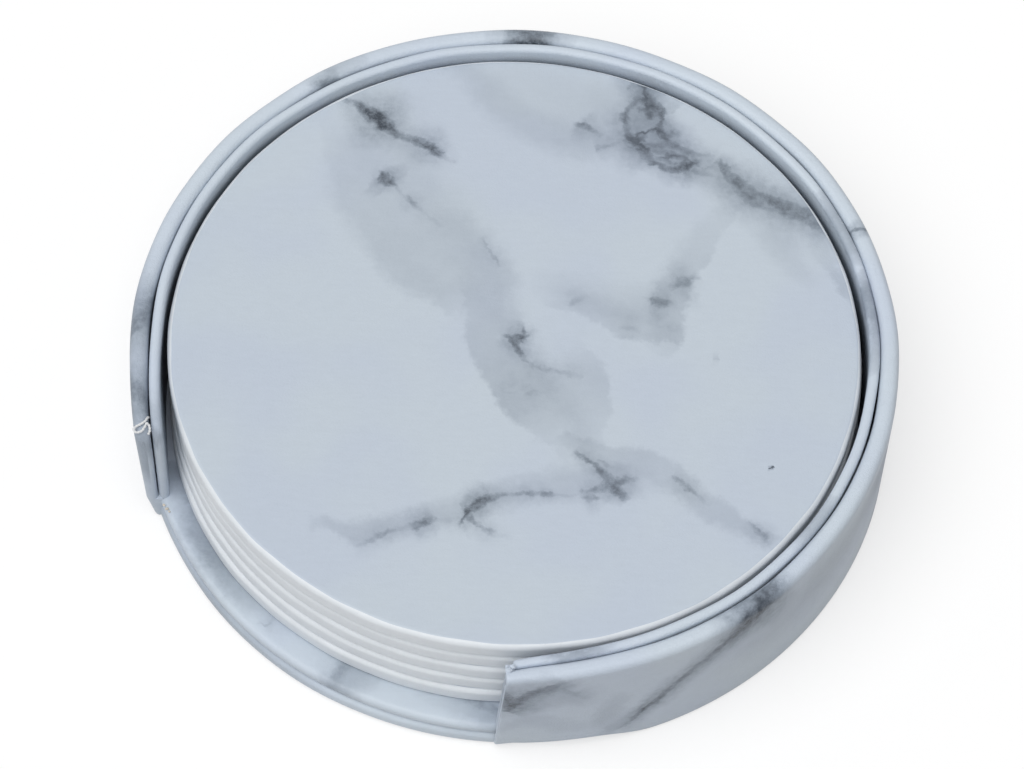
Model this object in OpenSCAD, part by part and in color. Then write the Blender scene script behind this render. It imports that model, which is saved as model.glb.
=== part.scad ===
// Five round coasters with printed faces, stacked in a round holder with an open front.
// The holder is two covered discs glued face to face, with a wall of two covered plies
// on them. The outer ply's cover runs on down over the discs' edges as a skirt.
// The origin is the centre of the holder's underside and +Z is up.
// The finger opening in the wall faces -X and -Y.

/* [Coaster] */
// Diameter over the sealed edge
coaster_d = 100; // [80:1:120]
// Thickness of one coaster
coaster_t = 3.1; // [2.4:0.1:5]
// Thickness of the printed skin on the upper face
face_skin_t = 0.6; // [0.3:0.1:0.8]
// Thickness of the skin on the lower face
back_skin_t = 0.5; // [0.3:0.1:0.8]
// Width of the sealed edge, seen from above
edge_seal_w = 1; // [0.6:0.1:2]
// Rounding of the sealed edge
edge_seal_round = 0.9; // [0.3:0.1:1.1]

/* [Wall] */
// Gap between a centred coaster and the wall
side_gap = 0.8; // [0.6:0.1:2]
// Thickness of the inner ply
inner_ply_t = 1.6; // [1.4:0.1:3]
// Thickness of the outer ply
outer_ply_t = 2.8; // [1.6:0.1:4]
// Height of the wall above the uppermost coaster
wall_rise = 1.8; // [0:0.1:6]
// Thickness of the cover around the wall's boards
wall_wrap_t = 0.5; // [0.2:0.05:0.6]
// Height of the skirt's lower edge above the table
skirt_foot = 0.4; // [0:0.1:2]

/* [Opening] */
// Direction in which the opening faces, anticlockwise from +X
opening_az = 233; // [180:1:270]
// Length of the wall's straight run at its left end
left_run = 12; // [4:0.5:16]
// Length of the wall's straight run at its front end
front_run = 7; // [4:0.5:16]
// How far the inner ply stops short of the outer one
end_step = 0.5; // [0:0.1:2.5]

/* [Base] */
// Thickness of the lower disc
base_t = 2.5; // [2:0.1:5]
// Thickness of the floor disc
floor_t = 2; // [2:0.1:5]
// Glue gap between the lower disc and the skirt
skirt_gap = 0.1; // [0.05:0.05:0.5]
// How far the floor disc stops short of the lower one
floor_inset = 0.5; // [0:0.1:1.5]
// Rounding of both discs' edges
disc_round = 0.9; // [0.6:0.05:0.9]
// Thickness of the cover around both discs
disc_wrap_t = 0.5; // [0.2:0.05:0.55]
// Thickness of the thinned hem that is turned in between the discs
hem_t = 0.25; // [0.1:0.05:0.3]
// Width of that hem on the floor disc
hem_w = 10; // [4:1:20]

/* [Hidden] */
// Least gap between a coaster that has slipped and the wall
least_gap = 0.35;
// Slip of coasters 1 to 5 towards the opening, and across it, as shares of the play
slip_shares = [0.6, -0.15, -0.6, -0.95, -0.6];
cross_slip_shares = [-0.2, -0.3, -0.1, -0.2, -0.8];
// Rounding of a ply's top, as a share of its thickness
top_round_share = 0.43;
// Overrun of every cut
cut = 1;
// Turn of the wall's round part, between its two straight runs
arc_sweep = 270;
// Steps in a full turn of a large curve, and of a rounded edge
$fn = 180;
edge_fn = 32;

coaster_count = len(slip_shares);
coaster_r = coaster_d / 2;
face_r = coaster_r - edge_seal_w;
core_t = coaster_t - face_skin_t - back_skin_t;
seal_round = min(edge_seal_round, edge_seal_w);
play = side_gap - least_gap;

floor_z = base_t + floor_t;
wall_inner_r = coaster_r + side_gap;
seam_r = wall_inner_r + inner_ply_t;
wall_outer_r = seam_r + outer_ply_t;
wall_h = coaster_count * coaster_t + wall_rise;
arc_from_az = opening_az + (360 - arc_sweep) / 2;

base_r = wall_outer_r - wall_wrap_t - skirt_gap;
floor_r = base_r - floor_inset;
hem_inner_r = floor_r - hem_w;

// Colours of the printed leatherette, the sealed edge, the lining, boards and glue
print_colour = [0.77, 0.81, 0.84];
seal_colour = [0.87, 0.89, 0.9];
lining_colour = [0.62, 0.64, 0.66];
board_colour = [0.72, 0.62, 0.48];
glue_colour = [0.93, 0.9, 0.8];

// Half section of a disc with rounded edges, standing on its lower face
module disc_section(r, t, edge_r) {
    square([r - edge_r, t]);
    translate([0, edge_r]) square([r, t - 2 * edge_r]);
    for (z = [edge_r, t - edge_r])
        translate([r - edge_r, z]) circle(edge_r, $fn = edge_fn);
}

// Half section of a disc's board, whose cover lies below it and whose hem lies above it
module disc_board_section(r, t) {
    translate([0, disc_wrap_t])
        disc_section(r - disc_wrap_t, t - disc_wrap_t - hem_t, disc_round - disc_wrap_t);
}

// Half section of a disc's cover with its hem turned in over the board
module disc_cover_section(r, t) {
    difference() {
        disc_section(r, t, disc_round);
        disc_board_section(r, t);
        translate([0, t - hem_t]) square([hem_inner_r, hem_t + cut]);
    }
}

module base_cover() {
    color(lining_colour) rotate_extrude() disc_cover_section(base_r, base_t);
}

module base_board() {
    color(board_colour) rotate_extrude() disc_board_section(base_r, base_t);
}

// Glue that fills the space inside the two hems
module glue_bed() {
    color(glue_colour) translate([0, 0, base_t - hem_t]) cylinder(r = hem_inner_r, h = 2 * hem_t);
}

module floor_board() {
    color(board_colour) translate([0, 0, floor_z]) mirror([0, 0, 1])
        rotate_extrude() disc_board_section(floor_r, floor_t);
}

module floor_cover() {
    color(print_colour) translate([0, 0, floor_z]) mirror([0, 0, 1])
        rotate_extrude() disc_cover_section(floor_r, floor_t);
}

// Section of a ply across its thickness, with a rounded top and a square foot
module ply_section(t, h) {
    top_r = t * top_round_share;
    square([t, h - top_r]);
    translate([top_r, 0]) square([t - 2 * top_r, h]);
    for (x = [top_r, t - top_r])
        translate([x, h - top_r]) circle(top_r, $fn = edge_fn);
}

// Section of the board inside a ply, which stands on the floor disc
module ply_board_section(t) {
    translate([wall_wrap_t, 0]) ply_section(t - 2 * wall_wrap_t, wall_h - wall_wrap_t);
}

// Section of the cover that is folded over that board's top and down both its faces
module ply_cover_section(t) {
    difference() {
        ply_section(t, wall_h);
        ply_board_section(t);
        translate([wall_wrap_t, -cut]) square([t - 2 * wall_wrap_t, cut]);
    }
}

// Section of the outer cover's skirt, below the floor disc's upper face
module skirt_section() {
    translate([outer_ply_t - wall_wrap_t, skirt_foot - floor_z])
        square([wall_wrap_t, floor_z - skirt_foot]);
}

// Carries a section along the wall, from the front end round the back to the left end
module along_wall(inner_r, t, short, turn) {
    rotate([0, 0, arc_from_az]) translate([0, 0, floor_z]) {
        rotate_extrude(angle = arc_sweep) translate([inner_r, 0]) children();
        wall_end(inner_r, t, front_run - short - t / 2, turn) children();
        rotate([0, 0, arc_sweep]) mirror([0, 1, 0])
            wall_end(inner_r, t, left_run - short - t / 2, turn) children();
    }
}

// Straight run along -Y from the end of the round part on +X,
// and the section's outer half turned about its middle as a round end
module wall_end(inner_r, t, run, turn) {
    translate([inner_r, 0, 0]) rotate([90, 0, 0]) linear_extrude(height = run) children();
    translate([inner_r + t / 2, -run, 0]) rotate([0, 0, -turn])
        rotate_extrude(angle = turn) intersection() {
            translate([-t / 2, 0]) children();
            translate([0, -floor_z]) square([t, floor_z + wall_h]);
        }
}

module inner_ply_board() {
    color(board_colour) along_wall(wall_inner_r, inner_ply_t, end_step, 180)
        ply_board_section(inner_ply_t);
}

module inner_ply_cover() {
    color(print_colour) along_wall(wall_inner_r, inner_ply_t, end_step, 180)
        ply_cover_section(inner_ply_t);
}

module outer_ply_board() {
    color(board_colour) along_wall(seam_r, outer_ply_t, 0, 180) ply_board_section(outer_ply_t);
}

module outer_ply_cover() {
    color(print_colour) {
        along_wall(seam_r, outer_ply_t, 0, 180) ply_cover_section(outer_ply_t);
        along_wall(seam_r, outer_ply_t, 0, 90) skirt_section();
    }
}

// Puts a piece at the place of coaster n, counted from below
module at_coaster(n) {
    rotate([0, 0, opening_az])
        translate([play * slip_shares[n - 1], play * cross_slip_shares[n - 1], floor_z + (n - 1) * coaster_t])
            children();
}

module coaster_back(n) {
    color(lining_colour) at_coaster(n) cylinder(r = face_r, h = back_skin_t);
}

module coaster_core(n) {
    color(board_colour) at_coaster(n) translate([0, 0, back_skin_t])
        cylinder(r = face_r, h = core_t);
}

module coaster_face(n) {
    color(print_colour) at_coaster(n) translate([0, 0, coaster_t - face_skin_t])
        cylinder(r = face_r, h = face_skin_t);
}

// Sealed edge: a band round the layers with rounded outer corners
module coaster_edge(n) {
    color(seal_colour) at_coaster(n) rotate_extrude() difference() {
        disc_section(coaster_r, coaster_t, seal_round);
        translate([0, -cut]) square([face_r, coaster_t + 2 * cut]);
    }
}

base_cover();
base_board();
glue_bed();
floor_board();
floor_cover();
inner_ply_board();
inner_ply_cover();
outer_ply_board();
outer_ply_cover();
coaster_back(1);  // coaster_1_back
coaster_core(1);  // coaster_1_core
coaster_face(1);  // coaster_1_face
coaster_edge(1);  // coaster_1_edge
coaster_back(2);  // coaster_2_back
coaster_core(2);  // coaster_2_core
coaster_face(2);  // coaster_2_face
coaster_edge(2);  // coaster_2_edge
coaster_back(3);  // coaster_3_back
coaster_core(3);  // coaster_3_core
coaster_face(3);  // coaster_3_face
coaster_edge(3);  // coaster_3_edge
coaster_back(4);  // coaster_4_back
coaster_core(4);  // coaster_4_core
coaster_face(4);  // coaster_4_face
coaster_edge(4);  // coaster_4_edge
coaster_back(5);  // coaster_5_back
coaster_core(5);  // coaster_5_core
coaster_face(5);  // coaster_5_face
coaster_edge(5);  // coaster_5_edge
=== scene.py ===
"""Round coasters with a marble print, stacked in a round holder with an open front."""

import math

import bmesh
import bpy
import numpy as np
from bpy.props import FloatProperty, FloatVectorProperty, PointerProperty
from mathutils import Matrix, Vector


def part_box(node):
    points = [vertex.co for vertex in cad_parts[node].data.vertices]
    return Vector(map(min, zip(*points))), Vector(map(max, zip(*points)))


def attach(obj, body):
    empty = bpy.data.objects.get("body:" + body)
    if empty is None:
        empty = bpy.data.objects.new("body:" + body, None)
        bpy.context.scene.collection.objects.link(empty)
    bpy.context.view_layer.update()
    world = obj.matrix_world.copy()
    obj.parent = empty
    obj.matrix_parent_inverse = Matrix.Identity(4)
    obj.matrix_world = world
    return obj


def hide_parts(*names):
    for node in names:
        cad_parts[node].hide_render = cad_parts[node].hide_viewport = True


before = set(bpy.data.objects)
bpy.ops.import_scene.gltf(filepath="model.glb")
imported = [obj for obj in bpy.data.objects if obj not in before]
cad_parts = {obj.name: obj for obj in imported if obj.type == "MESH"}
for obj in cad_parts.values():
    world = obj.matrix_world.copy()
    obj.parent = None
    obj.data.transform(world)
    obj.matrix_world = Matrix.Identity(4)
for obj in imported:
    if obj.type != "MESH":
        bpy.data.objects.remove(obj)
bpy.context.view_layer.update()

bl_info = {
    "name": "Marble coasters in a round holder",
    "version": (1, 0, 0),
    "blender": (4, 5, 0),
    "location": "View3D > Sidebar > Coasters",
    "description": "Makes five printed coasters, their open holder and a small studio",
    "category": "Add Mesh",
}

# Lengths in the functions are millimetres along the frame's axes, and meshes are made in metres
MM = 0.001
COASTERS = (1, 2, 3, 4, 5)
SHARP_ANGLE = math.radians(38)

# The holder's discs and its wall, as they are in the frame
BASE_T = 2.5
FLOOR_T = 2.0
FLOOR_Z = 4.5
SKIRT_FOOT = 0.4
INNER_R = 50.8
SEAM_R = 52.4
OUTER_R = 55.2
ARC_FROM = math.radians(278)
ARC_SWEEP = math.radians(270)
ARC_LENGTH = SEAM_R * ARC_SWEEP

# Room on each side of the wall's seam, round a board, round a sealed edge, and over a printed face
SEAM_GAP = 0.08
BOARD_PLAY = 0.02
SEAL_INSET = 0.02
FACE_INSET = 0.006

# Roundings of a disc's rim and of its board, and of the front and left ends of the two plies
DISC_ROUND = 0.9
BOARD_ROUND = 0.4
OUTER_ENDS = (0.3, 0.75)
INNER_ENDS = (0.4, 0.7)

# Rounding of a ply's top as a share of its thickness, and the steps of its sides and of each rounding
TOP_SHARE = 0.43
SIDE_STEPS = 14
BEND_STEPS = 8
# Length of the top's fall at the left end, and of the part of both ends whose lengths are sheared
LEFT_FALL = 1.9
SHEAR_REACH = 12.0
# How far the inner ply's top sinks, the skirt's foot rises and its hidden side moves in, and the plies' waves
FRONT_SINK = 0.45
FOOT_RISE = 2.1
FOOT_TUCK = 1.55
PLY_WAVES = 0.06
# How much the inner ply's two ends stop short, and where the print on an end starts below the ridge
INNER_SHORT = (1.2, 0.3)
END_DROP = 0.86
# How the discs' rims stray: dents as (depth, bearing and spread in degrees), and a shift of the whole disc
BASE_DENTS = ((-0.17, 211, 10), (0.1, 239, 7))
BASE_SHIFT = 0.18
FLOOR_DENTS = ((-0.22, 209, 12), (0.12, 268, 14))
# Lengths along a ply between which painted shade in the gaps comes in at the front end and goes at the left
# end
PAINTED_SHADE_FROM = (-4, 2)
PAINTED_SHADE_TO = (252, 245)

# Strength of the light, the lamp's bearing, height and spread in degrees, and how much the ground glows
ROOM_LIGHT = 0.36
LAMP_LIGHT = 2.18
LAMP_BEARING = 230
LAMP_HEIGHT = 68.5
LAMP_SPREAD = 65
GROUND_REACH = 3.0
GROUND_GREY = (0.6, 0.6, 0.6)
GROUND_GLOW = 0.55
WHITE = (1.0, 1.0, 1.0)

# The camera's tilt and roll in degrees, its focal length in millimetres, and its distance in metres
CAMERA_TILT = 58.741
CAMERA_ROLL = -3.154
CAMERA_LENS = 147.30
CAMERA_DISTANCE = 0.620
# Height of the picture's middle and of the point aimed at, and the focal length, all in pixels
MIDDLE_ROW = 384.5
AIMED_ROW = 415.6
FOCAL_ROWS = 4189.8


def to_linear(value):
    """Linear share of an 8-bit display value."""
    share = value / 255
    return share / 12.92 if share <= 0.04045 else ((share + 0.055) / 1.055) ** 2.4


def display(r, g, b):
    """Linear colour of an 8-bit display colour."""
    return tuple(to_linear(c) for c in (r, g, b))


def size_property(name, description, default):
    """A length for the sidebar panel, whose default is given in millimetres."""
    return FloatProperty(
        name=name, description=description, default=default * MM, min=0, precision=5, unit="LENGTH",
    )


def colour_property(name, description, r, g, b):
    """A colour for the sidebar panel, whose default is given as an 8-bit display colour."""
    return FloatVectorProperty(
        name=name, description=description, default=display(r, g, b), min=0, max=1, size=3, subtype="COLOR",
    )


class CoasterSizes(bpy.types.PropertyGroup):
    """Sizes of the coasters and their holder"""

    coaster_radius: size_property("Coaster radius", "From a coaster's middle to its sealed edge", 50.0)
    coaster_thickness: size_property("Coaster thickness", "From a coaster's lining to its printed face", 3.1)
    face_radius: size_property("Face radius", "Where the flat part of the printed face ends", 49.0)
    face_skin: size_property("Face thickness", "Thickness of the printed face", 0.6)
    top_corner: size_property("Upper corner", "Radius of the sealed edge's upper corner", 0.9)
    low_corner: size_property("Lower corner", "Radius of the sealed edge's lower corner", 0.6)
    base_radius: size_property("Base radius", "Radius of the base disc", 54.36)
    floor_radius: size_property("Floor radius", "Radius of the floor disc", 54.0)
    cover: size_property("Cover", "Thickness of the leatherette over a board", 0.5)
    hem: size_property("Hem thickness", "Thickness of the leatherette where it is turned in", 0.25)
    hem_width: size_property("Hem width", "How far the leatherette is turned in over a board", 10.0)
    wall_top: size_property("Wall top", "Height of the wall above the table", 21.8)
    front_run: size_property("Front run", "Straight end of the wall at the front", 7.0)
    left_run: size_property("Left run", "Straight end of the wall at the left", 12.0)
    thread: size_property("Thread radius", "Half the thickness of the loose thread", 0.17)
    grain: size_property("Grain depth", "Depth of the leatherette's grain", 0.045)


class CoasterColours(bpy.types.PropertyGroup):
    """Colours of the print, the edge paint and the other finishes"""

    plain: colour_property("Plain leather", "Ground of the marble print", 189, 199, 209)
    cloud: colour_property("Clouds", "Tone of the print's soft clouds", 162, 172, 183)
    vein: colour_property("Veins", "Tone of the print's veins", 135, 145, 156)
    dark: colour_property("Darkest veins", "Tone where the veins are darkest", 52, 60, 70)
    lilac: colour_property("Lilac patches", "Tint that lies over parts of the print", 251, 251, 255)
    seal: colour_property("Edge paint", "Paint that seals the coasters' edges", 221, 226, 231)
    lining: colour_property("Lining", "Cloth under the coasters", 150, 155, 160)
    board: colour_property("Board", "Grey board inside the coasters and the wall", 180, 160, 130)
    glue: colour_property("Glue", "Dried glue", 206, 197, 182)
    thread: colour_property("Thread", "Loose thread and cut edges", 226, 228, 230)


def size_of(name):
    """A size from the sidebar panel, in millimetres."""
    return getattr(bpy.context.scene.coaster_sizes, name) / MM


def colour(name, factor=1.0):
    """A colour from the sidebar panel, made lighter or darker by a factor."""
    return tuple(min(factor * c, 1.0) for c in getattr(bpy.context.scene.coaster_colours, name))


def skin(rings, uv=None, first="open", last="open", cap_uv=None):
    """A skin that is closed round each ring, from rings of points (rings, points, 3) in millimetres.

    first and last say how the skin ends: "open", "pole" for a ring that is one point, "cap" for a flat face
    over the ring, or "join" on both for a skin whose last ring meets the first again.
    uv is an array (rings, points + 1, 2), whose last column lies at the seam, and cap_uv one (2, points, 2).
    It gives the points, and pairs of arrays: the faces' point numbers, and their corners' uv.
    """
    count, width = rings.shape[:2]
    rows = np.arange(count)
    across = np.arange(width)
    beside = (across + 1) % width
    if last == "join":
        from_rows, to_rows = rows, (rows + 1) % count
    else:
        from_rows, to_rows = rows[:-1], rows[1:]
    low, high = from_rows[:, None] * width, to_rows[:, None] * width
    quads = np.stack([low + across, low + beside, high + beside, high + across], axis=-1)
    if uv is None:
        uv = np.zeros((count, width + 1, 2))
    left, right = uv[:, :-1], uv[:, 1:]
    places = np.stack([left[from_rows], right[from_rows], right[to_rows], left[to_rows]], axis=-2)
    start = 1 if first == "pole" else 0
    stop = len(from_rows) - (1 if last == "pole" else 0)
    faces = [(quads[start:stop].reshape(-1, 4), places[start:stop].reshape(-1, 4, 2))]
    if first == "pole":
        fan = quads[0][:, [0, 2, 3]].copy()
        fan[:, 0] = 0
        faces.append((fan, places[0][:, [0, 2, 3]]))
    if last == "pole":
        fan = quads[-1][:, [0, 1, 2]].copy()
        fan[:, 2] = (count - 1) * width
        faces.append((fan, places[-1][:, [0, 1, 2]]))
    if first == "cap":
        faces.append((across[None, ::-1], cap_uv[:1, ::-1]))
    if last == "cap":
        faces.append(((count - 1) * width + across[None, :], cap_uv[1:]))
    return rings.reshape(-1, 3), faces


def make_piece(name, skins, unrolled=False):
    """One piece from closed skins: faces turned outward, and smooth but where they meet at a sharp angle.

    Points that no face uses, such as the spare ones of a pole's ring, are left out. An unrolled piece keeps
    its places on the print as a layer.
    """
    starts = np.cumsum([0] + [len(points) for points, _ in skins])
    points = np.concatenate([points for points, _ in skins]) * MM
    faces = [
        (numbers + start, places) for start, (_, group) in zip(starts, skins) for numbers, places in group
    ]
    corners = np.concatenate([numbers.ravel() for numbers, _ in faces])
    sizes = np.concatenate([np.full(len(numbers), numbers.shape[1]) for numbers, _ in faces])
    used, corners = np.unique(corners, return_inverse=True)
    mesh = bpy.data.meshes.new(name)
    mesh.vertices.add(len(used))
    mesh.vertices.foreach_set("co", points[used].astype(np.float32).ravel())
    mesh.loops.add(len(corners))
    mesh.loops.foreach_set("vertex_index", corners.astype(np.int32).ravel())
    mesh.polygons.add(len(sizes))
    mesh.polygons.foreach_set("loop_start", (np.cumsum(sizes) - sizes).astype(np.int32))
    mesh.update(calc_edges=True)
    if unrolled:
        places = np.concatenate([places.reshape(-1, 2) for _, places in faces])
        mesh.uv_layers.new(name="print").data.foreach_set("uv", places.astype(np.float32).ravel())
    work = bmesh.new()
    work.from_mesh(mesh)
    bmesh.ops.recalc_face_normals(work, faces=work.faces)
    work.to_mesh(mesh)
    work.free()
    mesh.validate()
    mesh.shade_smooth()
    mesh.set_sharp_from_angle(angle=SHARP_ANGLE)
    mesh.update()
    piece = bpy.data.objects.new(name, mesh)
    bpy.context.scene.collection.objects.link(piece)
    return piece


def settle(piece, body, slot, material, *nodes):
    """Gives a piece its body, the CAD nodes that it stands for and its finish; slot is not used."""
    for node in nodes:
        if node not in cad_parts:
            raise RuntimeError(f"The frame has no part named {node}, which {piece.name} stands for")
    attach(piece, body)
    if nodes:
        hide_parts(*nodes)
    piece.data.materials.append(material)


def arc_points(centre, radius, start, stop, steps):
    """Points on an arc, from start to stop in degrees: centre + radius (cos a, sin a)."""
    a = np.radians(np.linspace(start, stop, steps + 1))
    return np.stack([centre[0] + radius * np.cos(a), centre[1] + radius * np.sin(a)], axis=-1)


def revolve(profile, turns=240, shift=(0.0, 0.0), wobble=None, first="pole", last="pole"):
    """Carries a profile of (radius, height) points once round the Z axis.

    A point is ((r + w(a, r)) cos a + x0, (r + w(a, r)) sin a + y0, z), with w the wobble.
    """
    a = np.linspace(0, 2 * np.pi, turns, endpoint=False)
    r = np.repeat(profile[:, 0][:, None], turns, axis=1)
    z = np.repeat(profile[:, 1][:, None], turns, axis=1)
    if wobble is not None:
        dr, dz = wobble(a[None, :], r, z)
        r, z = r + dr, z + dz
    rings = np.stack([r * np.cos(a) + shift[0], r * np.sin(a) + shift[1], z], axis=-1)
    return skin(rings, first=first, last=last)


def waves(a, seed, orders, size):
    """A smooth closed unevenness: the sum of sin(k a + phase) over the orders k, scaled to size."""
    phases = np.random.default_rng(seed).uniform(0, 2 * np.pi, len(orders))
    total = sum(np.sin(k * a + p) for k, p in zip(orders, phases))
    return size * total / math.sqrt(len(orders) / 2)


def placed_profile(profile, z0, t, up):
    """A disc's profile at height z0, turned upside down within its thickness if up is True."""
    if up:
        profile[:, 1] = t - profile[:, 1]
    profile[:, 1] += z0
    return profile


def disc_cover_profile(r, z0, t, up):
    """Closed profile of a disc's cover with its hem turned in over the board, as (radius, height) points.

    The plain side lies below if up is False, and above if it is True.
    """
    cover, hem = size_of("cover"), size_of("hem")
    rim, hem_r = r - DISC_ROUND, r - size_of("hem_width")
    bend, inner = DISC_ROUND - cover, r - cover
    profile = np.concatenate([
        [[0, 0]], np.stack([np.linspace(6, rim - 0.4, 12), np.zeros(12)], axis=-1),
        arc_points((rim, DISC_ROUND), DISC_ROUND, -90, 0, 8),
        arc_points((rim, t - DISC_ROUND), DISC_ROUND, 0, 90, 8), [[hem_r, t]], [[hem_r, t - hem]],
        arc_points((inner - bend, t - hem - bend), bend, 90, 0, 4),
        arc_points((inner - bend, cover + bend), bend, 0, -90, 4), [[0, cover]],
    ])
    return placed_profile(profile, z0, t, up)


def disc_board_profile(r, z0, t, up):
    """Closed profile of the board inside a disc's cover, as (radius, height) points."""
    low, high = size_of("cover"), t - size_of("hem")
    rim = r - size_of("cover") - BOARD_ROUND
    profile = np.concatenate([
        [[0, low]], arc_points((rim, low + BOARD_ROUND), BOARD_ROUND, -90, 0, 4),
        arc_points((rim, high - BOARD_ROUND), BOARD_ROUND, 0, 90, 4), [[0, high]],
    ])
    return placed_profile(profile, z0, t, up)


def along_wall(d, r):
    """Points (x, y) of the wall at length d along its seam line and radius r.

    Between 0 and the arc's length the line is a circle of radius SEAM_R about the axis, and beyond it a
    tangent: r (cos a, sin a) + e (-sin a, cos a), with a the angle on the arc and e the length past it.
    """
    on_arc = np.clip(d, 0, ARC_LENGTH)
    a = ARC_FROM + on_arc / SEAM_R
    over = d - on_arc
    return np.stack([r * np.cos(a) - over * np.sin(a), r * np.sin(a) + over * np.cos(a)], axis=-1)


def smooth(x):
    """Smooth step from 0 at x = 0 to 1 at x = 1."""
    x = np.clip(x, 0, 1)
    return x * x * (3 - 2 * x)


def quarter_drop(distance, radius):
    """How far a quarter circle lies below its crown: radius (1 - sqrt(1 - (1 - distance / radius)^2))."""
    inside = np.clip(1 - distance / radius, 0, 1)
    return radius * (1 - np.sqrt(np.clip(1 - inside ** 2, 0, 1)))


def ply_profile(t, skirt):
    """Closed section of a ply as points (x, z), x across its thickness, and the print's own length v at each.

    It runs up the inner face, over the rounded top, down the outer face, and for the outer ply on round its
    skirt. v is the length along the section, counted from the ridge.
    """
    top = TOP_SHARE * t
    height = size_of("wall_top") - FLOOR_Z
    side = np.linspace(0, height - top, SIDE_STEPS)
    up = np.stack([np.zeros(SIDE_STEPS), side], axis=-1)
    over = np.concatenate([
        arc_points((top, height - top), top, 180, 90, BEND_STEPS)[1:],
        arc_points((t - top, height - top), top, 90, 0, BEND_STEPS),
    ])
    down = np.stack([np.full(SIDE_STEPS, t), np.linspace(height - top, 0, SIDE_STEPS)], axis=-1)[1:]
    parts = [up, over, down]
    end = 0.0
    if skirt:
        cover = size_of("cover")
        foot = SKIRT_FOOT - FLOOR_Z + 0.15
        end = -0.02
        parts += [
            np.stack([np.full(6, t), np.linspace(0, foot, 7)[1:]], axis=-1),
            arc_points((t - cover / 2, foot), cover / 2, 0, -180, 6)[1:],
            np.stack([np.full(5, t - cover), np.linspace(foot, end, 6)[1:]], axis=-1),
        ]
    parts.append([[t / 2, end]])
    section = np.concatenate(parts)
    v = np.concatenate([[0], np.cumsum(np.hypot(*np.diff(section, axis=0).T))])
    return section, v - v[SIDE_STEPS + BEND_STEPS - 1]


def ply_rings(r, t, skirt, front, left):
    """Sections of one ply along the wall's line, as points, and the print's coordinates on them.

    A section point (x, z) at length d stands at radius r + m + (x - m) k(d) + lean(d, x, z), with m the
    middle of the ply and k = 1 - 2 inset(d) / t. inset follows a quarter circle in the last part before an
    end. The lengths d are sheared by the height at both ends, the top falls along a wider quarter circle at
    the left end, and the inner ply's top sinks by FRONT_SINK towards the front end. The skirt's foot rises by
    FOOT_RISE exp(-((d - 2) / 9)^4), and its hidden side moves in by FOOT_TUCK at the left end.
    """
    section, v = ply_profile(t, skirt)
    x, z = section[None, :, 0], section[None, :, 1]
    front_corner, left_corner = OUTER_ENDS if skirt else INNER_ENDS
    start, stop = -front, ARC_LENGTH + left
    quarter = 1 - np.cos(np.radians(np.linspace(0, 90, 7)))
    d = np.concatenate([
        start + front_corner * quarter, np.linspace(start + front_corner, 0, 9)[1:],
        np.linspace(0, ARC_LENGTH, 216)[1:], np.linspace(ARC_LENGTH, stop - LEFT_FALL, 9)[1:],
        np.linspace(stop - LEFT_FALL, stop - left_corner, 6)[1:], (stop - left_corner * quarter[::-1])[1:],
    ])[:, None]
    corner = np.where(d < ARC_LENGTH / 2, front_corner, left_corner)
    inset = np.minimum(quarter_drop(np.minimum(d - start, stop - d), corner), 0.44 * t)
    xx = t / 2 + (x - t / 2) * (1 - 2 * inset / t)
    if skirt:
        hidden = (z < -0.01) & (x < t - size_of("cover") / 2)
        xx = xx - FOOT_TUCK * smooth((d - stop + 4.5) / 3.5) * hidden
    high = np.clip(z / (size_of("wall_top") - FLOOR_Z), 0, 1)
    sunk = 0 if skirt else FRONT_SINK * np.clip((22 - d) / 28, 0, 1)
    zz = z - (0.8 * inset + 0.9 * quarter_drop(stop - d, LEFT_FALL) + sunk) * smooth((high - 0.6) / 0.4)
    lean = left_lean(d, x / t, zz, skirt) + front_lean(d, x / t, zz, skirt)
    uneven = waves(d / SEAM_R, 11 if skirt else 12, [3, 5, 8, 13, 21], PLY_WAVES) * high
    level = (zz + FLOOR_Z) / size_of("wall_top")
    dd = d + np.clip(1 - (d - start) / SHEAR_REACH, 0, 1) * (1.15 * level - 0.6)
    dd = dd + np.clip(1 - (stop - dd) / SHEAR_REACH, 0, 1) * (1.1 if skirt else 1.4) * (1 - level)
    if skirt:
        rise = FOOT_RISE * np.exp(-((d - 2.0) / 9.0) ** 4)
        zz = zz + rise * np.clip(-zz / FLOOR_Z, 0, 1) ** 1.5 * (x > t / 2)
    zz = zz + waves(d / SEAM_R, 21 if skirt else 22, [2, 3, 7, 11, 17], PLY_WAVES) * high ** 3
    point = along_wall(dd, r + xx + lean + uneven)
    rings = np.concatenate([point, (zz + FLOOR_Z)[..., None]], axis=-1)
    v = np.concatenate([v, [v[-1] + t / 2]])
    uv = np.stack(np.broadcast_arrays(np.concatenate([dd, dd[:, :1]], axis=1), v[None, :]), axis=-1)
    return rings, uv


def left_lean(d, share, z, skirt):
    """How far a ply leans out near its left end, at a share of its thickness from the inner face.

    With w a smooth step over the end and h the height's share, the inner face leans by w (0.15 + 0.35 h)
    and a bulge 0.3 exp(-((d - L - 3) / 9)^2) that is greatest at the top. The outer ply's outer face swings
    in towards the base at its foot, because the skirt follows the discs.
    """
    w = smooth((d - ARC_LENGTH + 4) / (size_of("left_run") + 4))
    high = np.clip(z / (size_of("wall_top") - FLOOR_Z), -0.3, 1)
    bulge = 0.3 * np.exp(-((d - ARC_LENGTH - 3) / 9) ** 2) * (0.3 + 0.7 * np.clip(high, 0, 1))
    inner = w * (0.15 + 0.35 * high) + bulge
    if not skirt:
        return inner
    tuck = 0.85 * np.clip(-z / FLOOR_Z, 0, 1) * w
    outer = w * (-0.75 + 0.95 * high) + bulge - 0.12 * w - tuck
    return inner + (outer - inner) * share


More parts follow.
